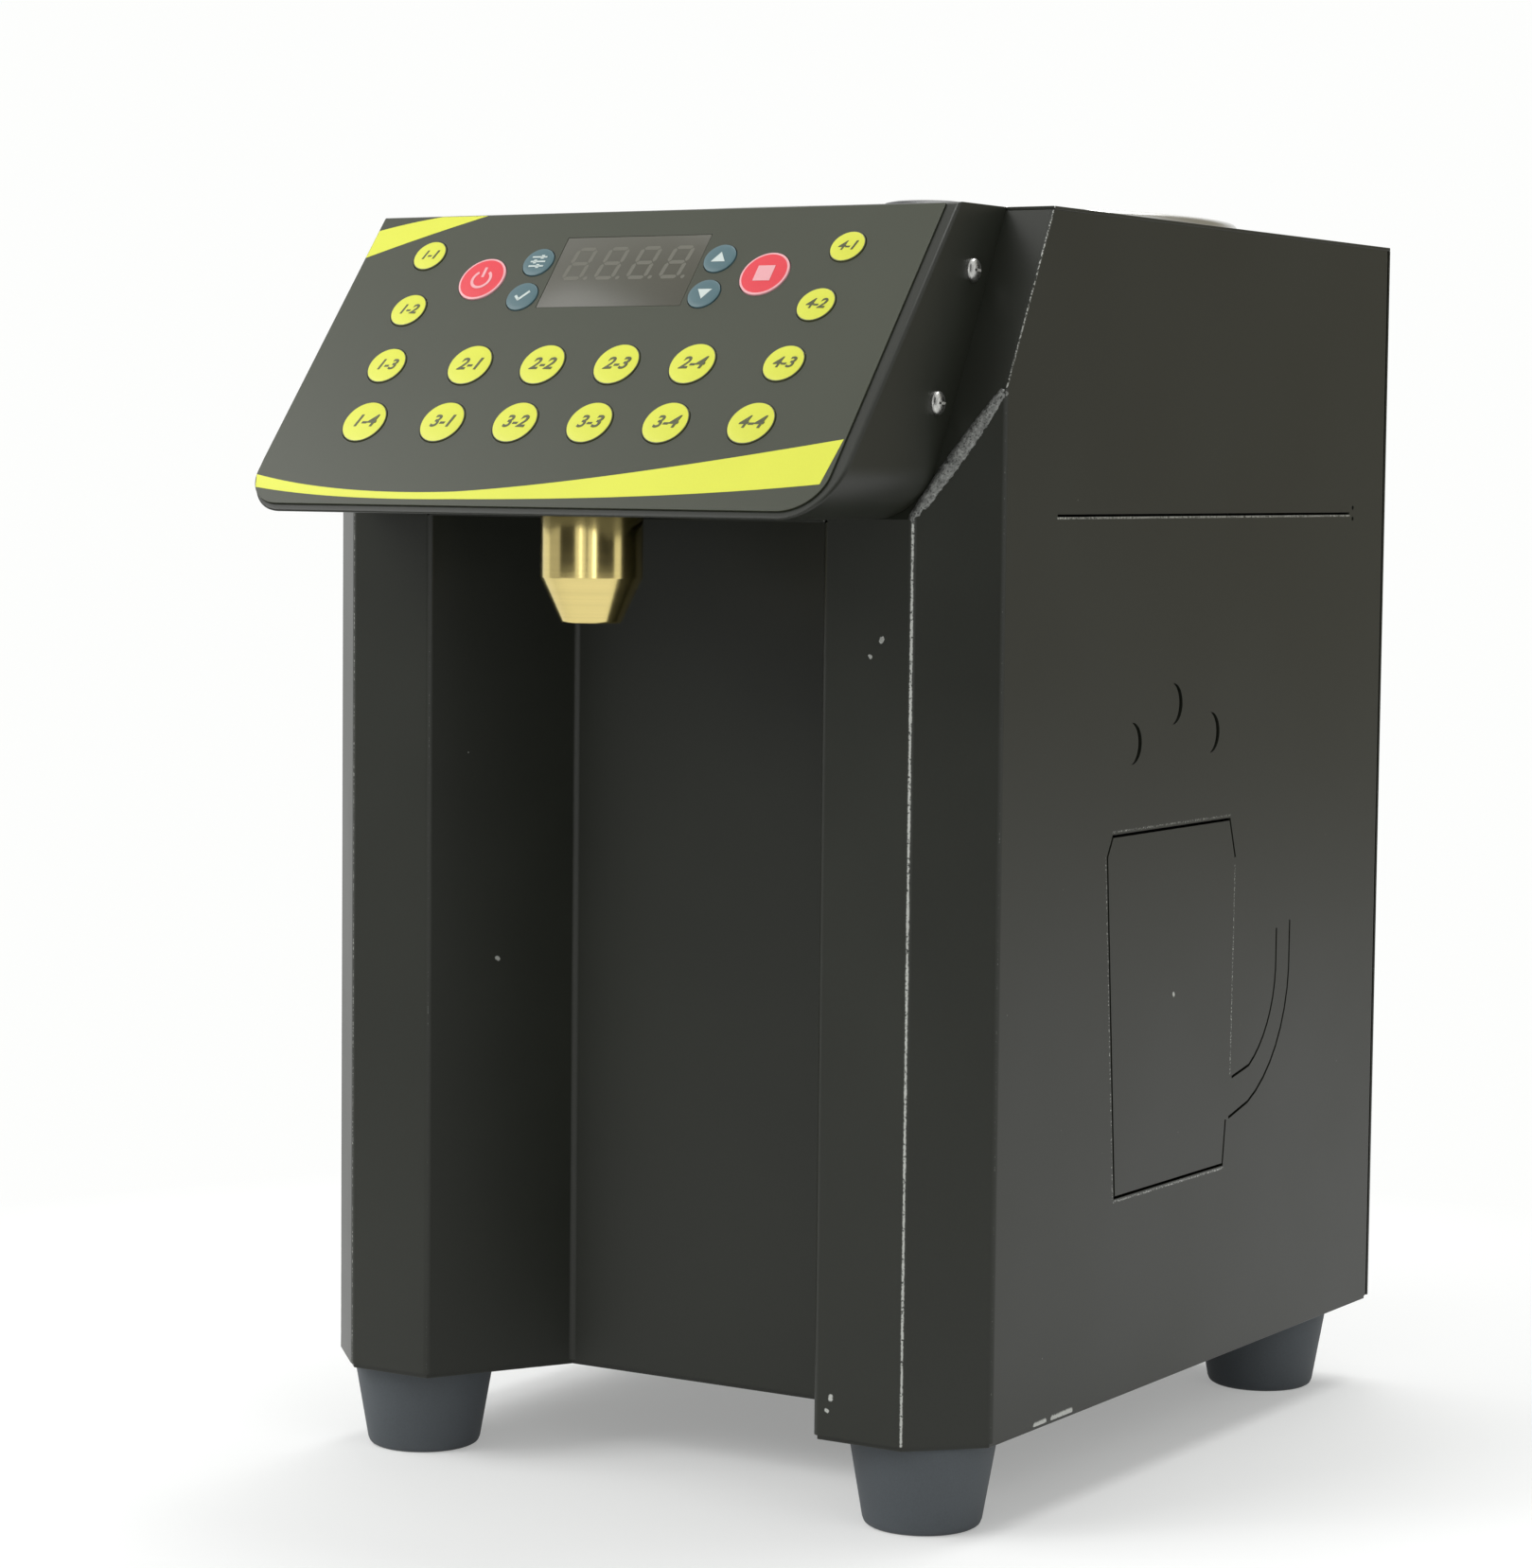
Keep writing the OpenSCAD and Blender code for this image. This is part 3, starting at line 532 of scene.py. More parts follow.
def wear_and_glints_edges(body: Cabinet) -> tuple[WornEdge, ...]:
    """The rubbed bends and the chips in the paint, and the painted highlights along the side's
    cuts.

    Args:
        body: The cabinet's sizes.

    Returns:
        The wear lines and the painted highlight lines.
    """
    leg = body.half - body.corner
    low = body.base + 2 * MM
    foot, knee, head = body.slope_foot, body.slope_knee, body.slope_head

    def upright(x: float, y: float, high: float, width: float, cover: float) -> WornEdge:
        """A vertical worn line."""
        return WornEdge((x, y, low), (x, y, high), width, cover)

    lines = [
        upright(leg, body.front, foot.z, 0.75 * MM, 0.58),
        upright(-body.bay_front, body.front, foot.z, 0.46 * MM, 0.50),
        upright(-leg, body.front, foot.z, 0.5 * MM, 0.42),
        upright(body.bay_front, body.front, foot.z, 0.45 * MM, 0.34),
        upright(body.half, body.front + body.corner, knee.z, 0.4 * MM, 0.33),
    ]
    for side in (1, -1):
        ends = (side * knee.x, knee.y, knee.z), (side * head.x, head.y, head.z)
        lines.append(WornEdge(*ends, 0.5 * MM, 0.46))
    # Painted highlights, not wear: pale speckled lines beside the seam slit and the mug outline,
    # where light catches the cut edges.
    seam = (foot.z - body.base) / MM + 0.6
    cuts = [
        ((56, seam), (282, seam), 0.47),
        ((98, 190.9), (187, 190.9), 0.40),
        ((93.3, 183), (102.3, 68), 0.38),
        ((103, 67.2), (186, 67.2), 0.44),
        ((190.5, 100), (191.5, 173), 0.42),
    ]
    for (y0, z0), (y1, z1), cover in cuts:
        start = (body.half, body.front + y0 * MM, body.base + z0 * MM)
        end = (body.half, body.front + y1 * MM, body.base + z1 * MM)
        lines.append(WornEdge(start, end, 0.45 * MM, cover))
    chips = [
        ((98.5, 0, 256.6), (98.2, 0, 255.9), 1.1),
        ((94.1, 0, 251.1), (94.4, 0, 250.7), 0.8),
        ((83.1, 0, 14.7), (83.0, 0, 13.9), 1.2),
        ((81.4, 0, 10.1), (81.9, 0, 9.8), 0.9),
        ((130, 50, 1.9), (130, 57, 2.0), 1.3),
        ((130, 62, 1.9), (130, 75, 2.1), 1.5),
        ((-64.5, 22.2, 142.7), (-64.2, 22.7, 142.3), 0.9),
        ((130, 145, 132.7), (130, 145.3, 132.2), 0.9),
    ]
    for start, end, width in chips:
        points = [
            (x * MM, body.front + y * MM, body.base + z * MM) for x, y, z in (start, end)
        ]
        lines.append(WornEdge(*points, width * MM, 0.62))
    return tuple(lines)


@dataclass
class Finishes:
    """All materials of the dispenser, by the record's material slots, and the inks."""

    made: dict[str, bpy.types.Material] = field(default_factory=dict)

    def build(self, body: Cabinet) -> None:
        """Makes every finish.

        Args:
            body: The cabinet's sizes, which place the wear lines, the painted highlight lines and
                turned grain.
        """
        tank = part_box("syrup_tank")
        tank_centre = (0.0, (tank[0].y + tank[1].y) / 2)
        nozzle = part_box("nozzle")
        nozzle_centre = (0.0, (nozzle[0].y + nozzle[1].y) / 2)
        steel = (0.60, 0.60, 0.58)
        finishes = [
            Finish(
                "painted_steel", (0.014, 0.0155, 0.0110), (0.32, 0.44), shade=0.18, fine=1400,
                broad=14, relief=0.35, height=0.03 * MM, gloss=0.36, dust_and_pit_shade=0.34,
                wear_and_glints=wear_and_glints_edges(body),
            ),
            Finish(
                "bright_screws", (0.50, 0.50, 0.48), (0.18, 0.40), metallic=1, shade=0.30,
                fine=1500, broad=500,
            ),
            Finish(
                "foot_rubber", (0.058, 0.067, 0.075), (0.62, 0.78), shade=0.20, fine=1800,
                relief=0.4, dust_and_pit_shade=0.12,
            ),
            Finish(
                "zinc_steel", (0.52, 0.53, 0.53), (0.34, 0.52), metallic=1, shade=0.16, fine=260,
                broad=70,
            ),
            Finish(
                "overlay_film", (0.032, 0.036, 0.022), (0.33, 0.42), shade=0.10, fine=2600,
                broad=9, relief=0.22, height=0.012 * MM, gloss=0.4, dust_and_pit_shade=0.10,
            ),
            Finish(
                "smoked_window", (0.060, 0.058, 0.043), (0.26, 0.34), shade=0.12, fine=1800,
                broad=16, relief=0.08, height=0.01 * MM, gloss=0.4,
            ),
            Finish(
                "circuit_board", (0.02, 0.13, 0.06), (0.25, 0.40), shade=0.20, fine=1300,
                relief=0.3,
            ),
            Finish(
                "yellow_keys", (0.54, 0.565, 0.048), (0.32, 0.42), shade=0.06, fine=2600,
                relief=0.12,
            ),
            Finish(
                "red_keys", (0.56, 0.030, 0.045), (0.32, 0.42), shade=0.10, fine=2600, relief=0.12,
            ),
            Finish(
                "teal_keys", (0.050, 0.105, 0.120), (0.32, 0.42), shade=0.10, fine=2600,
                relief=0.12,
            ),
            Finish(
                "stainless", steel, (0.24, 0.36), metallic=1, shade=0.12, fine=2600, broad=160,
                relief=0.10, run=Run.TURNED, centre=tank_centre,
            ),
            Finish(
                "heater_foil", (0.48, 0.33, 0.14), (0.28, 0.50), metallic=0.9, shade=0.2, fine=220,
                relief=0.5,
            ),
            Finish(
                "jacket_foam", (0.045, 0.045, 0.050), (0.80, 0.95), shade=0.30, fine=1200,
                relief=0.8, height=0.2 * MM,
            ),
            Finish(
                "pump_alloy", (0.58, 0.59, 0.60), (0.28, 0.42), metallic=1, shade=0.10,
                run=Run.ACROSS,
            ),
            Finish("gear_steel", (0.50, 0.50, 0.49), (0.18, 0.30), metallic=1, shade=0.12),
            Finish(
                "motor_steel", (0.28, 0.29, 0.30), (0.36, 0.48), metallic=0.8, shade=0.12,
                run=Run.UPRIGHT,
            ),
            Finish("silicone", (0.66, 0.64, 0.56), (0.40, 0.55), shade=0.08, fine=900, relief=0.2),
            Finish(
                "brass", (0.72, 0.59, 0.24), (0.14, 0.22), metallic=1, shade=0.07, fine=2200,
                broad=240, relief=0.10, run=Run.TURNED, centre=nozzle_centre,
            ),
            Finish("white_plastic", (0.72, 0.71, 0.67), (0.38, 0.52), shade=0.05, relief=0.2),
            Finish(
                "black_plastic", (0.020, 0.020, 0.022), (0.30, 0.44), shade=0.20, fine=2200,
                relief=0.3,
            ),
            Finish(
                "red_plastic", (0.42, 0.026, 0.026), (0.25, 0.36), shade=0.10, fine=2200,
                relief=0.2,
            ),
            # Weld bead: grey with strong random light and dark grain and dark specks, partly the
            # weld's own uneven tone, partly painted sparkle highlights and painted shade in its
            # pits.
            Finish(
                "weld_bead", (0.17, 0.175, 0.165), (0.28, 0.50), metallic=0.5, shade=0.85,
                fine=1500, broad=700, relief=1.0, height=0.30 * MM, dust_and_pit_shade=0.62,
                specks=(1600, 0.55, 0.60), bare_and_painted_light=(0.010, 0.011, 0.009),
            ),
            Finish(
                "yellow_ink", (0.56, 0.585, 0.044), (0.32, 0.42), shade=0.05, fine=2600,
                relief=0.12,
            ),
            Finish(
                "dark_ink", (0.060, 0.065, 0.022), (0.35, 0.45), shade=0.15, fine=2600, relief=0.1,
            ),
            Finish("rose_ink", (0.62, 0.30, 0.32), (0.35, 0.45), shade=0.07, fine=2600, relief=0.1),
            Finish("pale_ink", (0.46, 0.52, 0.50), (0.35, 0.45), shade=0.07, fine=2600, relief=0.1),
            Finish(
                "ghost_segments", (0.098, 0.095, 0.074), (0.28, 0.36), shade=0.15, fine=2200,
                relief=0.1,
            ),
        ]
        for finish in finishes:
            self.made[finish.name] = finish.build()
            LOG.info("finish %s", finish.name)

    def __getitem__(self, name: str) -> bpy.types.Material:
        """A material by its name."""
        return self.made[name]


# ---- mesh building blocks -----------------------------------------------------


class Bench:
    """Common operations on a piece while it is made."""

    @staticmethod
    def copied(*nodes: str) -> bmesh.types.BMesh:
        """A clean copy of frame nodes.

        Args:
            nodes: The nodes' names.

        Returns:
            Their merged mesh with flat faces joined up.
        """
        shape = bmesh.new()
        for node in nodes:
            shape.from_mesh(frame["nodes"][node].data)
        bmesh.ops.remove_doubles(shape, verts=shape.verts, dist=0.002 * MM)
        bmesh.ops.dissolve_limit(
            shape,
            angle_limit=math.radians(0.4),
            use_dissolve_boundaries=False,
            verts=shape.verts,
            edges=shape.edges,
            delimit=set(),
        )
        return shape

    @staticmethod
    def turned(profile: Sequence[tuple[float, float]], steps: int = 96) -> bmesh.types.BMesh:
        """Spins an outline of radii and heights round the Z axis.

        Args:
            profile: The outline's points.
            steps: How many facets go round.

        Returns:
            The closed, outward-facing mesh.
        """
        shape = bmesh.new()
        points = [shape.verts.new((r, 0, z)) for r, z in profile]
        edges = [shape.edges.new(pair) for pair in zip(points, points[1:])]
        if profile[0][0] > 0 and profile[-1][0] > 0:
            edges.append(shape.edges.new((points[-1], points[0])))
        bmesh.ops.spin(
            shape,
            geom=points + edges,
            cent=(0, 0, 0),
            axis=(0, 0, 1),
            angle=2 * math.pi,
            steps=steps,
            use_merge=True,
        )
        bmesh.ops.remove_doubles(shape, verts=shape.verts, dist=0.0005 * MM)
        bmesh.ops.recalc_face_normals(shape, faces=shape.faces)
        return shape

    @staticmethod
    def plate(
        outline: Sequence[tuple[float, float]], low: float, high: float
    ) -> bmesh.types.BMesh:
        """A flat plate.

        Args:
            outline: The points of its edge, in X and Y.
            low: Its lower face's height.
            high: Its upper face's height.

        Returns:
            The closed mesh.
        """
        shape = bmesh.new()
        shape.faces.new([shape.verts.new((x, y, low)) for x, y in outline])
        grown = bmesh.ops.extrude_face_region(shape, geom=shape.faces[:])
        risen = [v for v in grown["geom"] if isinstance(v, bmesh.types.BMVert)]
        bmesh.ops.translate(shape, verts=risen, vec=(0, 0, high - low))
        bmesh.ops.recalc_face_normals(shape, faces=shape.faces)
        return shape

    @staticmethod
    def disc(radius: float, low: float, high: float, hole: float = 0.0) -> bmesh.types.BMesh:
        """A round plate, or a ring where it has a hole.

        Args:
            radius: Its radius.
            low: Its lower face's height.
            high: Its upper face's height.
            hole: The hole's radius.

        Returns:
            The closed mesh.
        """
        inner = [(hole, high), (hole, low)] if hole else [(0.0, high)]
        start = [] if hole else [(0.0, low)]
        return Bench.turned([*start, (radius, low), (radius, high), *inner], 64)

    @staticmethod
    def soften(
        shape: bmesh.types.BMesh,
        width: float,
        segments: int = 2,
        least: float = 30.0,
        chosen: Callable[[bmesh.types.BMEdge], bool] | None = None,
    ) -> None:
        """Rounds sharp edges.

        Args:
            shape: The mesh to change.
            width: How far the round reaches from the edge.
            segments: How many facets it has.
            least: The smallest angle, in degrees, that counts as sharp.
            chosen: Tells which of the sharp edges are rounded; all if left out.
        """
        limit = math.radians(least)
        edges = [
            e
            for e in shape.edges
            if e.is_manifold and e.calc_face_angle(0) > limit and (chosen is None or chosen(e))
        ]
        bmesh.ops.bevel(
            shape,
            geom=edges,
            offset=width,
            offset_type="OFFSET",
            segments=segments,
            profile=0.5,
            affect="EDGES",
            clamp_overlap=True,
            material=-1,
        )

    @staticmethod
    def merged(shape: bmesh.types.BMesh, other: bmesh.types.BMesh, ink: int = 0) -> None:
        """Adds a second mesh to the first.

        Args:
            shape: The mesh that grows.
            other: The mesh that is added, which is freed.
            ink: The material number of the added faces.
        """
        for face in other.faces:
            face.material_index = ink
        extra = bpy.data.meshes.new("extra")
        other.to_mesh(extra)
        other.free()
        shape.from_mesh(extra)
        bpy.data.meshes.remove(extra)

    @staticmethod
    def lettering(
        text: str, size: float, shear: float, low: float, high: float
    ) -> bmesh.types.BMesh:
        """Plain raised figures, centred on the origin.

        Args:
            text: The figures.
            size: The font size.
            shear: How far they slant.
            low: The lower face's height.
            high: The upper face's height.

        Returns:
            Their mesh.
        """
        curve = bpy.data.curves.new("figures", "FONT")
        curve.body = text
        curve.size = size
        curve.shear = shear
        curve.align_x = "CENTER"
        curve.align_y = "CENTER"
        curve.offset = 0.022 * size
        curve.extrude = (high - low) / 2
        curve.resolution_u = 4
        holder = bpy.data.objects.new("figures", curve)
        bpy.context.scene.collection.objects.link(holder)
        bpy.context.view_layer.update()
        solved = holder.evaluated_get(bpy.context.evaluated_depsgraph_get())
        mesh = bpy.data.meshes.new_from_object(solved)
        shape = bmesh.new()
        shape.from_mesh(mesh)
        bpy.data.objects.remove(holder)
        bpy.data.curves.remove(curve)
        bpy.data.meshes.remove(mesh)
        bmesh.ops.remove_doubles(shape, verts=shape.verts, dist=0.0005 * MM)
        bmesh.ops.translate(shape, verts=shape.verts, vec=(0, 0, (low + high) / 2))
        return shape


@dataclass
class Piece:
    """A finished piece and what it stands for."""

    name: str
    finishes: list[bpy.types.Material]
    slot: str
    body: str = "cabinet"
    stands_for: tuple[str, ...] = ()
    sharp: float = 38.0
    edge_round: float = 0.0
    weighted: bool = False

    def made(self, shape: bmesh.types.BMesh, place: Matrix | None = None) -> bpy.types.Object:
        """Turns a mesh into this piece.

        Args:
            shape: The mesh, which is freed.
            place: Where it goes, if it isn't in place yet.

        Returns:
            The object, riding on its body.
        """
        if place is not None:
            bmesh.ops.transform(shape, matrix=place, verts=shape.verts)
        mesh = bpy.data.meshes.new(self.name)
        shape.to_mesh(mesh)
        shape.free()
        mesh.shade_smooth()
        mesh.set_sharp_from_angle(angle=math.radians(self.sharp))
        for finish in self.finishes:
            mesh.materials.append(finish)
        piece = bpy.data.objects.new(self.name, mesh)
        bpy.context.scene.collection.objects.link(piece)
        if self.edge_round:
            rounding = piece.modifiers.new("edge_round", "BEVEL")
            rounding.width = self.edge_round
            rounding.segments = 2
            rounding.limit_method = "ANGLE"
            rounding.angle_limit = math.radians(40)
            rounding.use_clamp_overlap = True
        if self.weighted:
            shading = piece.modifiers.new("even_shading", "WEIGHTED_NORMAL")
            shading.keep_sharp = True
        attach(piece, self.body)
        if self.stands_for:
            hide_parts(*self.stands_for)
        LOG.info("piece %s on %s: %d faces", self.name, self.body, len(mesh.polygons))
        return piece


# ---- the sheet-metal shell ------------------------------------------------------


@dataclass
class Shell:
    """Casing, sloped front, head, top panel and covers of bent, painted sheet, and the welds."""

    body: Cabinet
    finishes: Finishes
    bend: float = 1.5 * MM
    fold: float = 1.3 * MM
    edge: float = 0.22 * MM
    weld_radius: float = 2.5 * MM
    weld_depth: float = 1.9 * MM

    def build(self) -> None:
        """Makes the painted pieces."""
        self._casing()
        self._head()
        for node in ("upper_front", "top_panel", "base_plate", "rear_cover"):
            self._piece(node).made(Bench.copied(node))
        for side, name in ((1, "right"), (-1, "left")):
            self._weld(side, name)

    def _piece(self, node: str) -> Piece:
        """A painted piece that stands for a node.

        Args:
            node: The node's name.

        Returns:
            The piece, still without its mesh.
        """
        return Piece(
            f"{node}_sheet",
            [self.finishes["painted_steel"]],
            "painted_steel",
            stands_for=(node,),
            edge_round=self.edge,
            weighted=True,
        )

    def _casing(self) -> None:
        """The casing, with its bends rounded outside and inside."""
        shape = Bench.copied("casing")
        body = self.body
        plan = [
            (body.half, body.front + body.corner),
            (body.half - body.corner, body.front),
            (body.bay_front, body.front),
            (body.bay_back, body.front + body.bay_depth),
            (body.half, body.back - body.sheet),
        ]

        def is_bend(edge: bmesh.types.BMEdge) -> bool:
            """Finds the upright edges at the bends of the sheet.

            Args:
                edge: An edge of the casing.

            Returns:
                Whether it is one of them.
            """
            a, b = (v.co for v in edge.verts)
            if math.hypot(a.x - b.x, a.y - b.y) > 0.02 * MM or abs(a.z - b.z) < 30 * MM:
                return False
            return any(math.hypot(abs(a.x) - x, a.y - y) < 2.2 * body.sheet for x, y in plan)

        Bench.soften(shape, self.bend, 4, 20, is_bend)
        self._piece("casing").made(shape)

    def _head(self) -> None:
        """The head cover, with the fold between its panel and its sides rounded."""
        shape = Bench.copied("head_cover")
        body = self.body
        to_panel = body.panel.inverted()
        corner = body.head_half - body.head_corner

        def on_outline(point: Vector) -> bool:
            """Finds the points on the head's outline, seen from the front.

            Args:
                point: A point of the head.

            Returns:
                Whether it lies on the outline.
            """
            dx = abs(point.x) - corner
            dz = body.head_low + body.head_corner - point.z
            if dx > 0 and dz > 0:
                return abs(math.hypot(dx, dz) - body.head_corner) < 0.15 * MM
            nearest = min(
                abs(dx - body.head_corner), abs(dz - body.head_corner), body.roof - point.z
            )
            return nearest < 0.1 * MM

        def is_fold(edge: bmesh.types.BMEdge) -> bool:
            """Whether an edge runs along the panel's own outline."""
            return all(
                abs((to_panel @ v.co).z) < 0.05 * MM and on_outline(v.co) for v in edge.verts
            )

        Bench.soften(shape, self.fold, 4, 20, is_fold)
        self._piece("head_cover").made(shape)

    def _weld(self, side: int, name: str) -> None:
        """The rough weld where the sloped front meets a corner.

        Args:
            side: 1 for the right, -1 for the left.
            name: The side's name.
        """
        start, end = self.body.slope_foot.copy(), self.body.slope_knee.copy()
        start.x *= side
        end.x *= side
        run = end - start
        shape = bmesh.new()
        bmesh.ops.create_cone(
            shape,
            cap_ends=True,
            segments=18,
            radius1=self.weld_radius,
            radius2=self.weld_radius,
            depth=run.length,
        )
        long_edges = [e for e in shape.edges if abs(e.verts[0].co.z - e.verts[1].co.z) > 1 * MM]
        bmesh.ops.subdivide_edges(shape, edges=long_edges, cuts=150, use_grid_fill=True)
        for vert in shape.verts:
            along = (vert.co.z / run.length + 0.5) * math.pi
            swell = 0.60 + 0.42 * max(math.sin(along), 0) ** 0.6
            grit, ripple = (
                noise.noise(vert.co * fineness, noise_basis="PERLIN_ORIGINAL")
                for fineness in (1300, 420)
            )
            scale = swell * (1 + 0.13 * grit + 0.08 * ripple)
            vert.co.x *= scale
            vert.co.y *= scale
        bmesh.ops.recalc_face_normals(shape, faces=shape.faces)
        inward = Vector((-side, 1, -0.45)).normalized() * self.weld_depth
        turn = run.to_track_quat("Z", "Y").to_matrix().to_4x4()
        place = Matrix.Translation((start + end) / 2 + inward) @ turn
        bead = [self.finishes["weld_bead"]]
        Piece(f"weld_{name}", bead, "painted_steel", sharp=180).made(shape, place)


# ---- the keypad -----------------------------------------------------------------


class Mark(Enum):
    """What is printed on a key."""

    FIGURES = "figures"
    POWER = "power"
    STOP = "stop"
    SET = "set"
    SAVE = "save"
    UP = "up"
    DOWN = "down"


@dataclass(frozen=True)
class KeyStyle:
    """How one kind of key looks."""

    finish: str
    ring: str
    ring_width: float
    ink: str


DOSE_KEY = KeyStyle("yellow_keys", "dark_ink", 0.30 * MM, "dark_ink")
MAIN_KEY = KeyStyle("red_keys", "rose_ink", 0.75 * MM, "rose_ink")
SMALL_KEY = KeyStyle("teal_keys", "teal_keys", 0.25 * MM, "pale_ink")


@dataclass
class Keypad:
    """The membrane with its keys, its printed bands and the display window.

    The film's corner and the sweep's end, which is a drop from the panel's top edge,
    are in millimetres, as the bands' points are.
    """

    body: Cabinet
    finishes: Finishes
    print_rise: float = 0.05 * MM
    dome: float = 0.22 * MM
    film_corner: float = 14.0
    sweep_end: float = 117.6

    def build(self) -> None:
        """Makes the keypad's pieces."""
        self._film()
        self._window()
        self._bands()
        for row in range(1, 5):
            for column in (1, 4):
                self._key(f"{column}_{row}", DOSE_KEY, Mark.FIGURES)
        for column in (2, 3):
            for row in range(1, 5):
                self._key(f"{column}_{row}", DOSE_KEY, Mark.FIGURES)
        self._key("power", MAIN_KEY, Mark.POWER)
        self._key("stop", MAIN_KEY, Mark.STOP)
        self._key("set", SMALL_KEY, Mark.SET)
        self._key("save", SMALL_KEY, Mark.SAVE)
        self._key("up", SMALL_KEY, Mark.UP)
        self._key("down", SMALL_KEY, Mark.DOWN)

    def extent(self, node: str) -> tuple[Vector, Vector]:
        """Measures a node in the panel's own frame.

        Args:
            node: The node's name.

        Returns:
            Its lowest and its highest corner.
        """
        back = self.body.panel.inverted()
        points = [back @ v.co for v in frame["nodes"][node].data.vertices]
        low = Vector([min(p[i] for p in points) for i in range(3)])
        high = Vector([max(p[i] for p in points) for i in range(3)])
        return low, high

    def _film(self) -> None:
        """The printed film, with its outer edge rounded."""
        shape = Bench.copied("control_overlay")
        film = Piece(
            "control_film",
            [self.finishes["overlay_film"]],
            "overlay_film",
            stands_for=("control_overlay",),
            edge_round=0.16 * MM,
            weighted=True,
        )
        film.made(shape)

    def _window(self) -> None:
        """The smoked window with four dim seven-bar figures on it."""
        low, high = self.extent("display_window")
        outline = [(low.x, low.y), (high.x, low.y), (high.x, high.y), (low.x, high.y)]
        shape = Bench.plate(outline, low.z, high.z)
        Bench.soften(shape, 0.2 * MM, 2)
        smoke = [self.finishes["smoked_window"]]
        window = Piece("smoked_window", smoke, "smoked_window", stands_for=("display_window",))
        window.made(shape, self.body.panel)
        figures = bmesh.new()
        pitch, width, height, margin = 12.6 * MM, 8.2 * MM, 14 * MM, 4.5 * MM
        for place in range(4):
            left = low.x + margin + place * pitch
            for bar in self._figure(left, high.y - margin, width, height):
                Bench.merged(figures, Bench.plate(bar, high.z, high.z + 0.02 * MM))
        piece = Piece("display_figures", [self.finishes["ghost_segments"]], "smoked_window")
        piece.made(figures, self.body.panel)

    @staticmethod
    def _figure(
        left: float, top: float, width: float, height: float
    ) -> list[list[tuple[float, float]]]:
        """The outlines of a seven-bar figure with all its bars and its point.

        Args:
            left: Its left edge.
            top: Its top edge.
            width: Its width.
            height: Its height.

        Returns:
            One outline a bar.
        """
        thick, gap, lean = 1.5 * MM, 0.25 * MM, 0.12

        def slanted(points: list[tuple[float, float]]) -> list[tuple[float, float]]:
            """Leans points to the right with their height."""
            return [(left + x + lean * (y + height), top + y) for x, y in points]

        half = thick / 2
        bars = []
        for level in (0, 1, 2):
            y = -half - level * (height - thick) / 2
            a, b = half + gap, width - half - gap
            upper = [(a, y), (a + half, y + half), (b - half, y + half)]
            lower = [(b, y), (b - half, y - half), (a + half, y - half)]
            bars.append(slanted(upper + lower))
        for column in (0, 1):
            for level in (0, 1):
                x = half + column * (width - thick)
                high = -half - gap - level * (height - thick) / 2
                low = high - (height - thick) / 2 + 2 * gap
                right_side = [(x, high), (x + half, high - half), (x + half, low + half)]
                left_side = [(x, low), (x - half, low + half), (x - half, high - half)]
                bars.append(slanted(right_side + left_side))
        spot, reach = width + 1.4 * MM, 0.75 * MM
        turns = [math.radians(a) for a in range(0, 360, 30)]
        point = [
            (spot + reach * math.cos(a), -height + reach + reach * math.sin(a)) for a in turns
        ]
        return [*bars, slanted(point)]

    def _bands(self) -> None:
        """The yellow wedge at the top left and the sweep along the bottom."""
        low, high = self.extent("control_overlay")
        rise = high.z

        def at(x: float, drop: float) -> tuple[float, float]:
            """A point x mm across and drop mm below the panel's top edge, kept on the film."""
            return max(x * MM, low.x), -max(drop * MM, -high.y)

        def curve(
            start: tuple[float, float],
            middle: tuple[float, float],
            end: tuple[float, float],
            steps: int = 24,
        ) -> list[tuple[float, float]]:
            """Draws a smooth curve.

            Args:
                start: Its first point.
                middle: The point it is drawn towards.
                end: Its last point.
                steps: How many straight bits it has.

            Returns:
                Its points.
            """
            points = []
            for i in range(steps + 1):
                t = i / steps
                x, drop = (
                    (1 - t) ** 2 * a + 2 * t * (1 - t) * m + t * t * b
                    for a, m, b in zip(start, middle, end)
                )
                points.append(at(x, drop))
            return points

        left, right = low.x / MM, high.x / MM
        upper = curve((left, 6.6), (-100, 3.2), (-87, -high.y / MM))
        lower = curve((-68, -high.y / MM), (-91, 9.5), (left, 18.6))
        self._band("wedge_print", upper + lower, rise)
        corner = self._corner_x(low)
        sweep = [
            *curve((left + 0.3, 112.3), (-75, 120.6), (-28, 118.4)),
            *curve((-28, 118.4), (20, 114.6), (right - 0.6, 96.2)),
            *curve((right - 2.4, 113.6), (50, 120.6), (-28, 121.4)),
            *curve((-28, 121.4), (-75, 122.6), (corner, self.sweep_end)),
        ]
        self._band("sweep_print", sweep, rise)

    def _corner_x(self, low: Vector) -> float:
        """Finds where the film's rounded lower left corner meets the sweep's lower end.

        Args:
            low: The film's lowest corner in the panel's own frame.

        Returns:
            The place across the panel, in millimetres.
        """
        radius, inset = self.film_corner, 0.25
        drop = self.sweep_end - (-low.y / MM - radius)
        return low.x / MM + radius - math.sqrt(radius**2 - drop**2) + inset

    def _band(self, name: str, outline: list[tuple[float, float]], rise: float) -> None:
        """Prints one yellow band on the film.

        Args:
            name: The band's name.
            outline: The points of its edge.
            rise: The height of the film's face.
        """
        clean = [
            point
            for before, point in zip([outline[-1], *outline], outline)
            if (Vector(point) - Vector(before)).length > 0.01 * MM
        ]
        shape = Bench.plate(clean, rise, rise + self.print_rise)
        Piece(name, [self.finishes["yellow_ink"]], "yellow_keys").made(shape, self.body.panel)

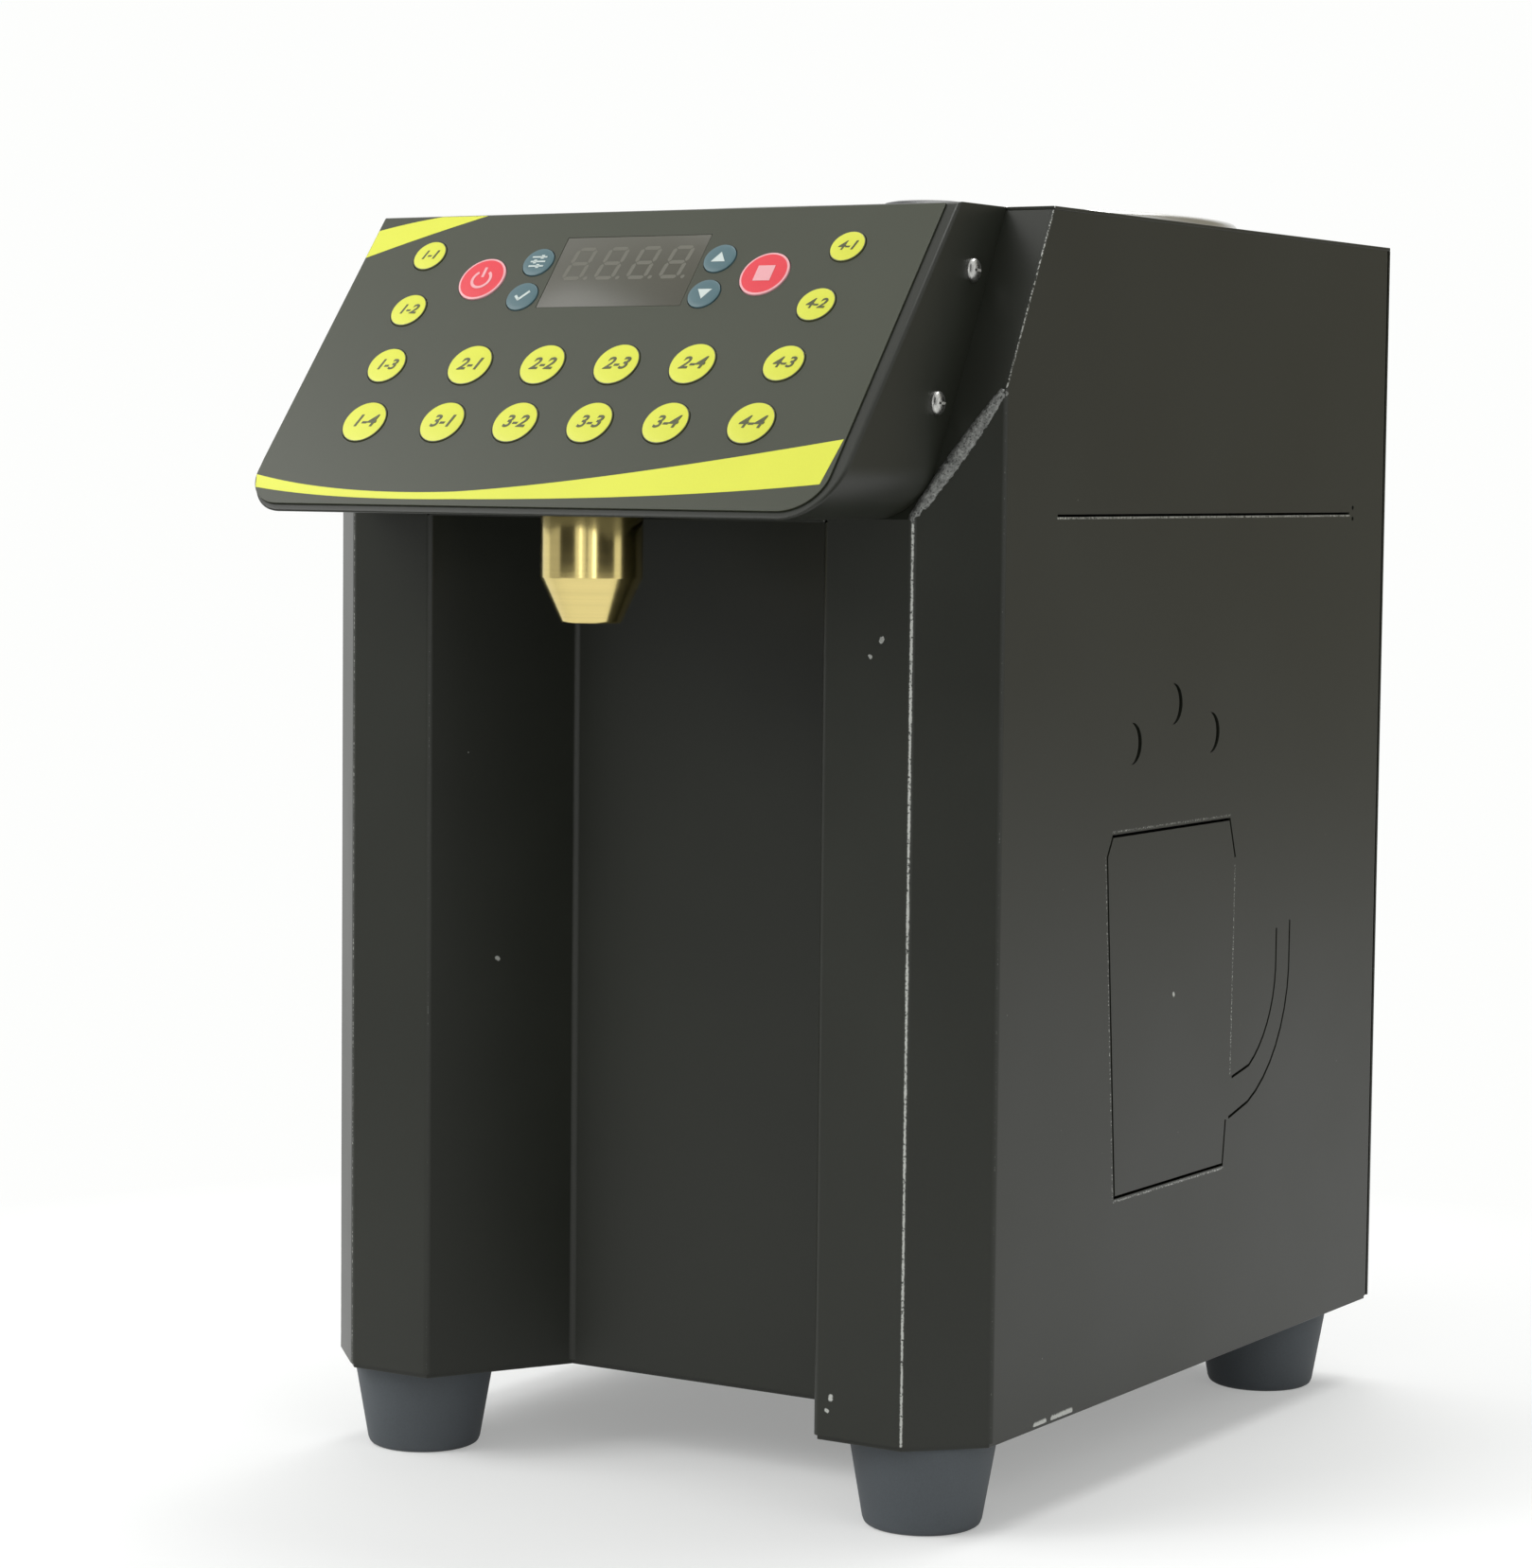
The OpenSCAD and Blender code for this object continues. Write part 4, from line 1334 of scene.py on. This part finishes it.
    def _key(self, label: str, style: KeyStyle, mark: Mark) -> None:
        """A key: stem, collar, gently domed cap, printed ring and mark.

        Args:
            label: The key's name after "key_".
            style: Its colours.
            mark: What is printed on it.
        """
        node = f"key_{label}"
        low, high = self.extent(node)
        centre = (low + high) / 2
        radius = (high.x - low.x) / 2 - 1 * MM
        collar = -1.5 * MM
        top = high.z
        ring = radius - style.ring_width
        under = collar - 0.8 * MM
        profile = [
            (0, low.z), (2 * MM, low.z), (2 * MM, under), (radius + 1 * MM, under),
            (radius + 1 * MM, collar), (radius, collar), (radius, top - 0.16 * MM),
            (radius - 0.06 * MM, top - 0.05 * MM), (radius - 0.2 * MM, top),
            (ring, top + 0.02 * MM), (0.7 * radius, top + 0.45 * self.dome),
            (0.4 * radius, top + 0.85 * self.dome), (0, top + self.dome),
        ]
        shape = Bench.turned(profile, 64)
        for face in shape.faces:
            middle = face.calc_center_median()
            if middle.z > collar and math.hypot(middle.x, middle.y) > ring - 0.02 * MM:
                face.material_index = 1
        floor = top + 0.45 * self.dome
        peak = top + self.dome + self.print_rise
        for print_shape in self._mark(mark, label, radius, floor, peak):
            Bench.merged(shape, print_shape, 2)
        colours = [self.finishes[name] for name in (style.finish, style.ring, style.ink)]
        piece = Piece(f"{node}_cap", colours, style.finish, body=node, stands_for=(node,))
        piece.made(shape, self.body.panel @ Matrix.Translation((centre.x, centre.y, 0)))

    @staticmethod
    def _mark(
        mark: Mark, label: str, radius: float, low: float, high: float
    ) -> list[bmesh.types.BMesh]:
        """The raised print on a key.

        Args:
            mark: Which print.
            label: The key's name, which holds its figures.
            radius: The key's radius.
            low: The print's lower height.
            high: Its upper height.

        Returns:
            One mesh a stroke.
        """
        r = radius

        def bar(x0: float, y0: float, x1: float, y1: float, width: float) -> bmesh.types.BMesh:
            """Draws a straight stroke.

            Args:
                x0: Its start across.
                y0: Its start upwards.
                x1: Its end across.
                y1: Its end upwards.
                width: Its width.

            Returns:
                Its mesh.
            """
            run = Vector((x1 - x0, y1 - y0)).normalized() * width / 2
            side = Vector((-run.y, run.x))
            ends = [(x0, y0, -side), (x1, y1, -side), (x1, y1, side), (x0, y0, side)]
            return Bench.plate([(x + s.x, y + s.y) for x, y, s in ends], low, high)

        if mark is Mark.FIGURES:
            return [Bench.lettering(label.replace("_", "-"), 0.82 * r, 0.3, low, high)]
        if mark is Mark.POWER:
            arc = [math.radians(a) for a in range(-235, 56, 10)]
            ring = [(0.46 * r, a) for a in arc] + [(0.34 * r, a) for a in reversed(arc)]
            outline = [(s * math.cos(a), s * math.sin(a) - 0.04 * r) for s, a in ring]
            return [Bench.plate(outline, low, high), bar(0, 0.06 * r, 0, 0.54 * r, 0.12 * r)]
        if mark is Mark.STOP:
            return [bar(-0.36 * r, 0, 0.36 * r, 0, 0.72 * r)]
        if mark is Mark.SET:
            sliders = ((0.2, 0.34), (-0.2, 0), (0.1, -0.34))
            strokes = [bar(-0.5 * r, y * r, 0.5 * r, y * r, 0.1 * r) for _, y in sliders]
            knobs = [
                bar(x * r - 0.1 * r, y * r, x * r + 0.1 * r, y * r, 0.28 * r) for x, y in sliders
            ]
            return strokes + knobs
        if mark is Mark.SAVE:
            return [
                bar(-0.42 * r, 0.02 * r, -0.1 * r, -0.3 * r, 0.16 * r),
                bar(-0.14 * r, -0.3 * r, 0.44 * r, 0.34 * r, 0.16 * r),
            ]
        way = 1 if mark is Mark.UP else -1
        triangle = [(-0.46 * r, -0.28 * way * r), (0.46 * r, -0.28 * way * r), (0, 0.42 * way * r)]
        return [Bench.plate(triangle, low, high)]


# ---- turned and moulded pieces ------------------------------------------------------


@dataclass
class Fittings:
    """Nozzle, lid, knob, feet and the small fittings at the back."""

    body: Cabinet
    finishes: Finishes

    def build(self) -> None:
        """Makes the fittings."""
        self._nozzle()
        self._lid()
        self._knob()
        self._feet()
        self._socket_pins()
        self._switch_marks()

    @staticmethod
    def axis_of(node: str) -> tuple[Vector, Vector, Matrix]:
        """Measures a round node.

        Args:
            node: The node's name.

        Returns:
            Its lowest corner, its highest corner and its upright axis at height 0.
        """
        low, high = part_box(node)
        middle = (low + high) / 2
        return low, high, Matrix.Translation((middle.x, middle.y, 0))

    def _nozzle(self) -> None:
        """The polished brass nozzle with its cone and its bright lip."""
        low, high, place = self.axis_of("nozzle")
        seat = self.body.head_low
        radius = (high.x - low.x) / 2
        tip, bore, neck = 10 * MM, 4 * MM, 8 * MM
        knee = seat - 20 * MM
        profile = [
            (bore, low.z + 1.5 * MM), (bore + 1.2 * MM, low.z), (tip - 0.5 * MM, low.z),
            (tip, low.z + 0.5 * MM), (tip + 0.2 * MM, low.z + 1.1 * MM), (radius, knee),
            (radius, seat - 0.4 * MM), (radius - 0.4 * MM, seat), (neck, seat),
            (neck, high.z), (bore, high.z),
        ]
        shape = Bench.turned(profile, 128)
        Bench.soften(shape, 0.15 * MM, 2, 24)
        nozzle = Piece("brass_nozzle", [self.finishes["brass"]], "brass", stands_for=("nozzle",))
        nozzle.made(shape, place)

    def _lid(self) -> None:
        """The round stainless lid with its rolled rim and dished middle."""
        low, high, place = self.axis_of("lid")
        radius = (high.x - low.x) / 2
        sheet, dish = 0.8 * MM, 8 * MM
        flat = radius - 20 * MM
        rise = high.z
        profile = [
            (radius, low.z), (radius, rise - 2.4 * MM), (radius - 0.35 * MM, rise - 1.1 * MM),
            (radius - 1.1 * MM, rise - 0.3 * MM), (radius - 2.2 * MM, rise), (flat + 4 * MM, rise),
            (flat + 1.6 * MM, rise - 0.8 * MM), (flat, rise - 3 * MM),
            (flat - 1.4 * MM, rise - dish + 1.6 * MM), (flat - 3.4 * MM, rise - dish),
            (0, rise - dish), (0, rise - dish - sheet), (flat - 3.8 * MM, rise - dish - sheet),
            (flat - 2.1 * MM, rise - dish + 1.1 * MM), (flat - 0.8 * MM, rise - 3.2 * MM),
            (flat + 1.2 * MM, rise - 1.6 * MM), (flat + 4 * MM, rise - sheet),
            (radius - 2.2 * MM, rise - sheet), (radius - 1.2 * MM, rise - 1.4 * MM),
            (radius - sheet, rise - 2.4 * MM), (radius - sheet, low.z),
        ]
        shape = Bench.turned([*profile, profile[0]], 192)
        Bench.soften(shape, 0.3 * MM, 2, 24)
        steel = [self.finishes["stainless"]]
        lid = Piece("lid_dished", steel, "stainless", body="lid", stands_for=("lid",))
        lid.made(shape, place)

    def _knob(self) -> None:
        """The moulded knob in the middle of the lid."""
        low, high, place = self.axis_of("lid_knob")
        grip = (high.x - low.x) / 2
        top = high.z
        profile = [
            (0, low.z), (10 * MM, low.z), (10 * MM, low.z + 1.2 * MM), (8.4 * MM, low.z + 2.2 * MM),
            (7.2 * MM, low.z + 4 * MM), (7 * MM, top - 9 * MM), (8.6 * MM, top - 7.6 * MM),
            (grip - 1.4 * MM, top - 6.2 * MM), (grip - 0.2 * MM, top - 5 * MM),
            (grip, top - 3.6 * MM), (grip - 0.4 * MM, top - 2 * MM),
            (grip - 2 * MM, top - 0.6 * MM), (grip - 5 * MM, top), (0, top - 0.5 * MM),
        ]
        shape = Bench.turned(profile, 96)
        Bench.soften(shape, 0.3 * MM, 2, 24)
        plastic = [self.finishes["black_plastic"]]
        knob = Piece(
            "knob_moulded", plastic, "black_plastic", body="lid", stands_for=("lid_knob",)
        )
        knob.made(shape, place)

    def _feet(self) -> None:
        """The four tapered feet with a rounded sole."""
        low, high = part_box("feet")
        wide, narrow, bore, pocket = 24 * MM, 19 * MM, 7 * MM, 14 * MM
        x = high.x - wide
        rear = high.y - wide
        front = low.y + wide
        whole = bmesh.new()
        bolt = 3 * MM
        profile = [
            (bolt, high.z), (wide - 0.5 * MM, high.z), (wide, high.z - 0.6 * MM),
            (wide - 0.1 * MM, high.z - 2 * MM), (narrow + 0.45 * MM, low.z + 2.4 * MM),
            (narrow - 0.2 * MM, low.z + 0.8 * MM), (narrow - 1.6 * MM, low.z), (bore, low.z),
            (bore, low.z + pocket), (bolt, low.z + pocket),
        ]
        for across in (-x, x):
            for along in (front, rear):
                foot = Bench.turned(profile, 72)
                Bench.soften(foot, 0.35 * MM, 2, 20)
                bmesh.ops.translate(foot, verts=foot.verts, vec=(across, along, 0))
                Bench.merged(whole, foot)
        rubber = [self.finishes["foot_rubber"]]
        Piece("feet_moulded", rubber, "foot_rubber", stands_for=("feet",)).made(whole)

    def _socket_pins(self) -> None:
        """Bright sleeves on the pins of the power inlet."""
        low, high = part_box("power_inlet")
        middle = (low + high) / 2
        depth = high.y - 14.5 * MM
        pin_size = (2.1 * MM, 13.05 * MM, 4.1 * MM)
        whole = bmesh.new()
        for x, z in ((-7, -2), (7, -2), (0, 2)):
            pin = bmesh.new()
            bmesh.ops.create_cube(pin, size=1)
            bmesh.ops.scale(pin, vec=pin_size, verts=pin.verts)
            Bench.soften(pin, 0.4 * MM, 2)
            spot = Vector((middle.x + x * MM, depth, middle.z + z * MM))
            bmesh.ops.translate(pin, verts=pin.verts, vec=spot)
            Bench.merged(whole, pin)
        Piece("inlet_pins", [self.finishes["bright_screws"]], "bright_screws").made(whole)

    def _switch_marks(self) -> None:
        """The plain I and O on the power switch's rocker."""
        low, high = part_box("switch_rocker")
        middle = (low + high) / 2
        tilt = math.radians(8)
        depth = self.body.back - 1.5 * MM
        whole = Bench.disc(1.5 * MM, 3.0 * MM, 3.16 * MM, 1.0 * MM)
        bmesh.ops.translate(whole, verts=whole.verts, vec=(0, -3.1 * MM, 0))
        half, near, far = 0.3 * MM, 1.7 * MM, 4.3 * MM
        outline = [(-half, near), (half, near), (half, far), (-half, far)]
        Bench.merged(whole, Bench.plate(outline, 2.9 * MM, 3.1 * MM))
        place = Matrix.Translation((middle.x, depth, middle.z)) @ Matrix.Rotation(tilt, 4, "X")
        outward = Matrix.Rotation(math.radians(-90), 4, "X") @ Matrix.Rotation(math.pi, 4, "Z")
        marks = Piece("switch_marks", [self.finishes["pale_ink"]], "red_plastic", body="rocker")
        marks.made(whole, place @ outward)


# ---- surroundings ----------------------------------------------------------------


@dataclass(frozen=True)
class Lamp:
    """A soft square lamp that looks at the object's middle."""

    name: str
    place: tuple[float, float, float]
    size: float
    power: float
    shows: bool = True

    def build(self) -> None:
        """Hangs the lamp."""
        data = bpy.data.lights.new(self.name, "AREA")
        data.size = self.size
        data.energy = self.power
        lamp = bpy.data.objects.new(self.name, data)
        lamp.location = self.place
        lamp.visible_glossy = self.shows
        aim = Vector((0, 0, 0.22)) - Vector(self.place)
        lamp.rotation_euler = aim.to_track_quat("-Z", "Y").to_euler()
        bpy.context.scene.collection.objects.link(lamp)


@dataclass(frozen=True)
class Card:
    """An upright card that shows only in reflections.

    The bearing is in degrees from straight ahead of the object, to the right. The
    distance, the width and the height are in metres, and a light of 1 is white.
    """

    name: str
    bearing: float
    distance: float
    width: float
    height: float
    light: float
    tint: tuple[float, float, float] = (1.0, 1.0, 1.0)

    def build(self) -> None:
        """Stands the card on the floor."""
        turn = math.radians(self.bearing)
        shape = bmesh.new()
        bmesh.ops.create_grid(shape, x_segments=1, y_segments=1, size=0.5)
        upright = Matrix.Rotation(turn, 4, "Z") @ Matrix.Rotation(math.pi / 2, 4, "X")
        ahead = (math.sin(turn) * self.distance, -math.cos(turn) * self.distance)
        spot = Matrix.Translation((*ahead, self.height / 2 + 0.02))
        size = Matrix.Diagonal((self.width, self.height, 1, 1))
        bmesh.ops.transform(shape, matrix=spot @ upright @ size, verts=shape.verts)
        mesh = bpy.data.meshes.new(self.name)
        shape.to_mesh(mesh)
        shape.free()
        mesh.materials.append(self._glow())
        card = bpy.data.objects.new(self.name, mesh)
        card.visible_camera = False
        card.visible_shadow = False
        card.visible_diffuse = False
        bpy.context.scene.collection.objects.link(card)

    def _glow(self) -> bpy.types.Material:
        """Makes the card's glowing material.

        Returns:
            The material.
        """
        material = bpy.data.materials.new(self.name)
        material.use_nodes = True
        shader = Shader(material.node_tree)
        glow = shader.add("ShaderNodeEmission")
        glow.inputs["Color"].default_value = (*self.tint, 1)
        place = shader.add("ShaderNodeTexCoord").outputs["Object"]
        grain = Effects.grain.placed(shader, Vector=place, Fine_Scale=60.0, Broad_Scale=3.0)
        strength = shader.spread(grain.outputs["Broad"], 0.9 * self.light, 1.1 * self.light)
        shader.join(strength, glow.inputs["Strength"])
        surface = material.node_tree.nodes["Material Output"].inputs["Surface"]
        shader.join(glow.outputs[0], surface)
        return material


LAMPS = (
    Lamp("key", (-1.1, -1.9, 1.7), 1.3, 24.0, shows=False),
    Lamp("fill", (1.9, -0.9, 1.2), 1.4, 9.0, shows=False),
    Lamp("above", (0.05, 0.70, 2.1), 1.4, 32.0),
    Lamp("gleam", (-0.85, -0.74, 0.98), 0.8, 7.0),
)
CARDS = (
    Card("card_right", 62, 1.8, 1.3, 2.0, 0.03),
    Card("card_front", -22, 2.1, 1.5, 1.9, 0.05),
    Card("card_near", -46, 0.62, 0.32, 0.5, 0.55),
    Card("card_behind", 150, 1.7, 1.5, 1.9, 0.34, (1.0, 0.93, 0.74)),
    Card("card_slit", 22, 1.9, 0.16, 1.2, 0.22),
    Card("strip_left", 9, 1.6, 0.10, 0.8, 3.0),
    Card("strip_right", 37, 1.6, 0.13, 0.8, 4.0),
)


@dataclass
class Studio:
    """Camera, world, floor, lamps and cards."""

    view_from: tuple[float, float, float] = (0.75376, -1.24659, 0.33875)
    azimuth: float = 31.974
    elevation: float = 4.3286
    roll: float = 0.605
    lens: float = 95.25
    white: tuple[float, float, float] = (0.985, 0.99, 0.98)

    def build(self) -> None:
        """Sets up everything around the object."""
        scene = bpy.context.scene
        scene.view_settings.view_transform = "Standard"
        self._camera(scene)
        self._world(scene)
        self._floor()
        for item in (*LAMPS, *CARDS):
            item.build()

    def _camera(self, scene: bpy.types.Scene) -> None:
        """Places the camera at the photograph's viewing angle.

        Args:
            scene: The scene.
        """
        turn, tip, roll = (math.radians(a) for a in (self.azimuth, self.elevation, self.roll))
        level = math.cos(tip)
        ahead = Vector((-math.sin(turn) * level, math.cos(turn) * level, -math.sin(tip)))
        right = Vector((math.cos(turn), math.sin(turn), 0))
        up = right.cross(ahead)
        across = right * math.cos(roll) + up * math.sin(roll)
        upward = up * math.cos(roll) - right * math.sin(roll)
        data = bpy.data.cameras.new("camera")
        data.lens = self.lens
        data.sensor_width = 36
        data.clip_end = 50
        camera = bpy.data.objects.new("camera", data)
        aim = Matrix((across, upward, -ahead)).transposed().to_4x4()
        camera.matrix_world = Matrix.Translation(self.view_from) @ aim
        scene.collection.objects.link(camera)
        scene.camera = camera

    @staticmethod
    def _seen(shader: Shader) -> bpy.types.NodeSocket:
        """Tells rays that see the surround from rays that are lit by it.

        Args:
            shader: The material's or the world's shader.

        Returns:
            1 for rays from the camera and off or through gloss, 0 for others.
        """
        path = shader.add("ShaderNodeLightPath")
        glossy, through = path.outputs["Is Glossy Ray"], path.outputs["Is Transmission Ray"]
        gloss = shader.maths("MAXIMUM", glossy, through)
        return shader.maths("MAXIMUM", path.outputs["Is Camera Ray"], gloss)

    def _world(self, scene: bpy.types.Scene) -> None:
        """Makes a pale surround that lights softly.

        Args:
            scene: The scene.
        """
        world = bpy.data.worlds.new("surround")
        world.use_nodes = True
        scene.world = world
        shader = Shader(world.node_tree)
        sky = world.node_tree.nodes["Background"]
        sky.inputs["Color"].default_value = (*self.white, 1)
        shader.join(shader.spread(self._seen(shader), 0.45, 1.0), sky.inputs["Strength"])

    def _floor(self) -> None:
        """A wide pale floor that keeps the object's shadow and fades into the surround."""
        shape = bmesh.new()
        bmesh.ops.create_circle(shape, cap_ends=True, segments=96, radius=12)
        mesh = bpy.data.meshes.new("floor")
        shape.to_mesh(mesh)
        shape.free()
        material = bpy.data.materials.new("pale_floor")
        material.use_nodes = True
        shader = Shader(material.node_tree)
        nodes = material.node_tree.nodes
        surface = nodes["Principled BSDF"]
        place = shader.add("ShaderNodeTexCoord").outputs["Object"]
        grain = Effects.grain.placed(shader, Vector=place, Fine_Scale=40.0, Broad_Scale=0.6)
        pale = shader.blend(grain.outputs["Broad"], (0.90, 0.905, 0.90), (0.93, 0.935, 0.93))
        shader.join(pale, surface.inputs["Base Color"])
        surface.inputs["Roughness"].default_value = 0.9
        surface.inputs["Specular IOR Level"].default_value = 0.1
        glow = shader.add("ShaderNodeEmission")
        glow.inputs["Color"].default_value = (*self.white, 1)
        distance = shader.vector("LENGTH", place).outputs["Value"]
        beyond = shader.maths("SUBTRACT", distance, 0.27)
        far = shader.maths("MULTIPLY_ADD", beyond, 2.4, 0.3, clamp=True)
        lifted = shader.maths("MAXIMUM", far, 0.3)
        mixed = shader.add("ShaderNodeMixShader")
        shader.join(shader.maths("MULTIPLY", lifted, self._seen(shader)), mixed.inputs[0])
        shader.join(surface.outputs[0], mixed.inputs[1])
        shader.join(glow.outputs[0], mixed.inputs[2])
        shader.join(mixed.outputs[0], nodes["Material Output"].inputs["Surface"])
        mesh.materials.append(material)
        floor = bpy.data.objects.new("floor", mesh)
        bpy.context.scene.collection.objects.link(floor)


def dress_frame(finishes: Finishes) -> None:
    """Gives each of the frame's own nodes the finish of its material slot.

    Args:
        finishes: All materials.
    """
    for part in frame["record"]["subparts"]:
        mesh = frame["nodes"][part["node"]].data
        mesh.materials.clear()
        mesh.materials.append(finishes[part["material_slot"]])


def main() -> None:
    """Builds the pieces in order."""
    logging.basicConfig(level=logging.INFO, format="%(name)s: %(message)s")
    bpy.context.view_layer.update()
    finishes = Finishes()
    finishes.build(CABINET)
    dress_frame(finishes)
    on_cabinet = (part(CABINET, finishes) for part in (Shell, Keypad, Fittings))
    for assembly in (*on_cabinet, Studio()):
        assembly.build()
        LOG.info("built %s", type(assembly).__name__)


if __name__ == "__main__":
    main()
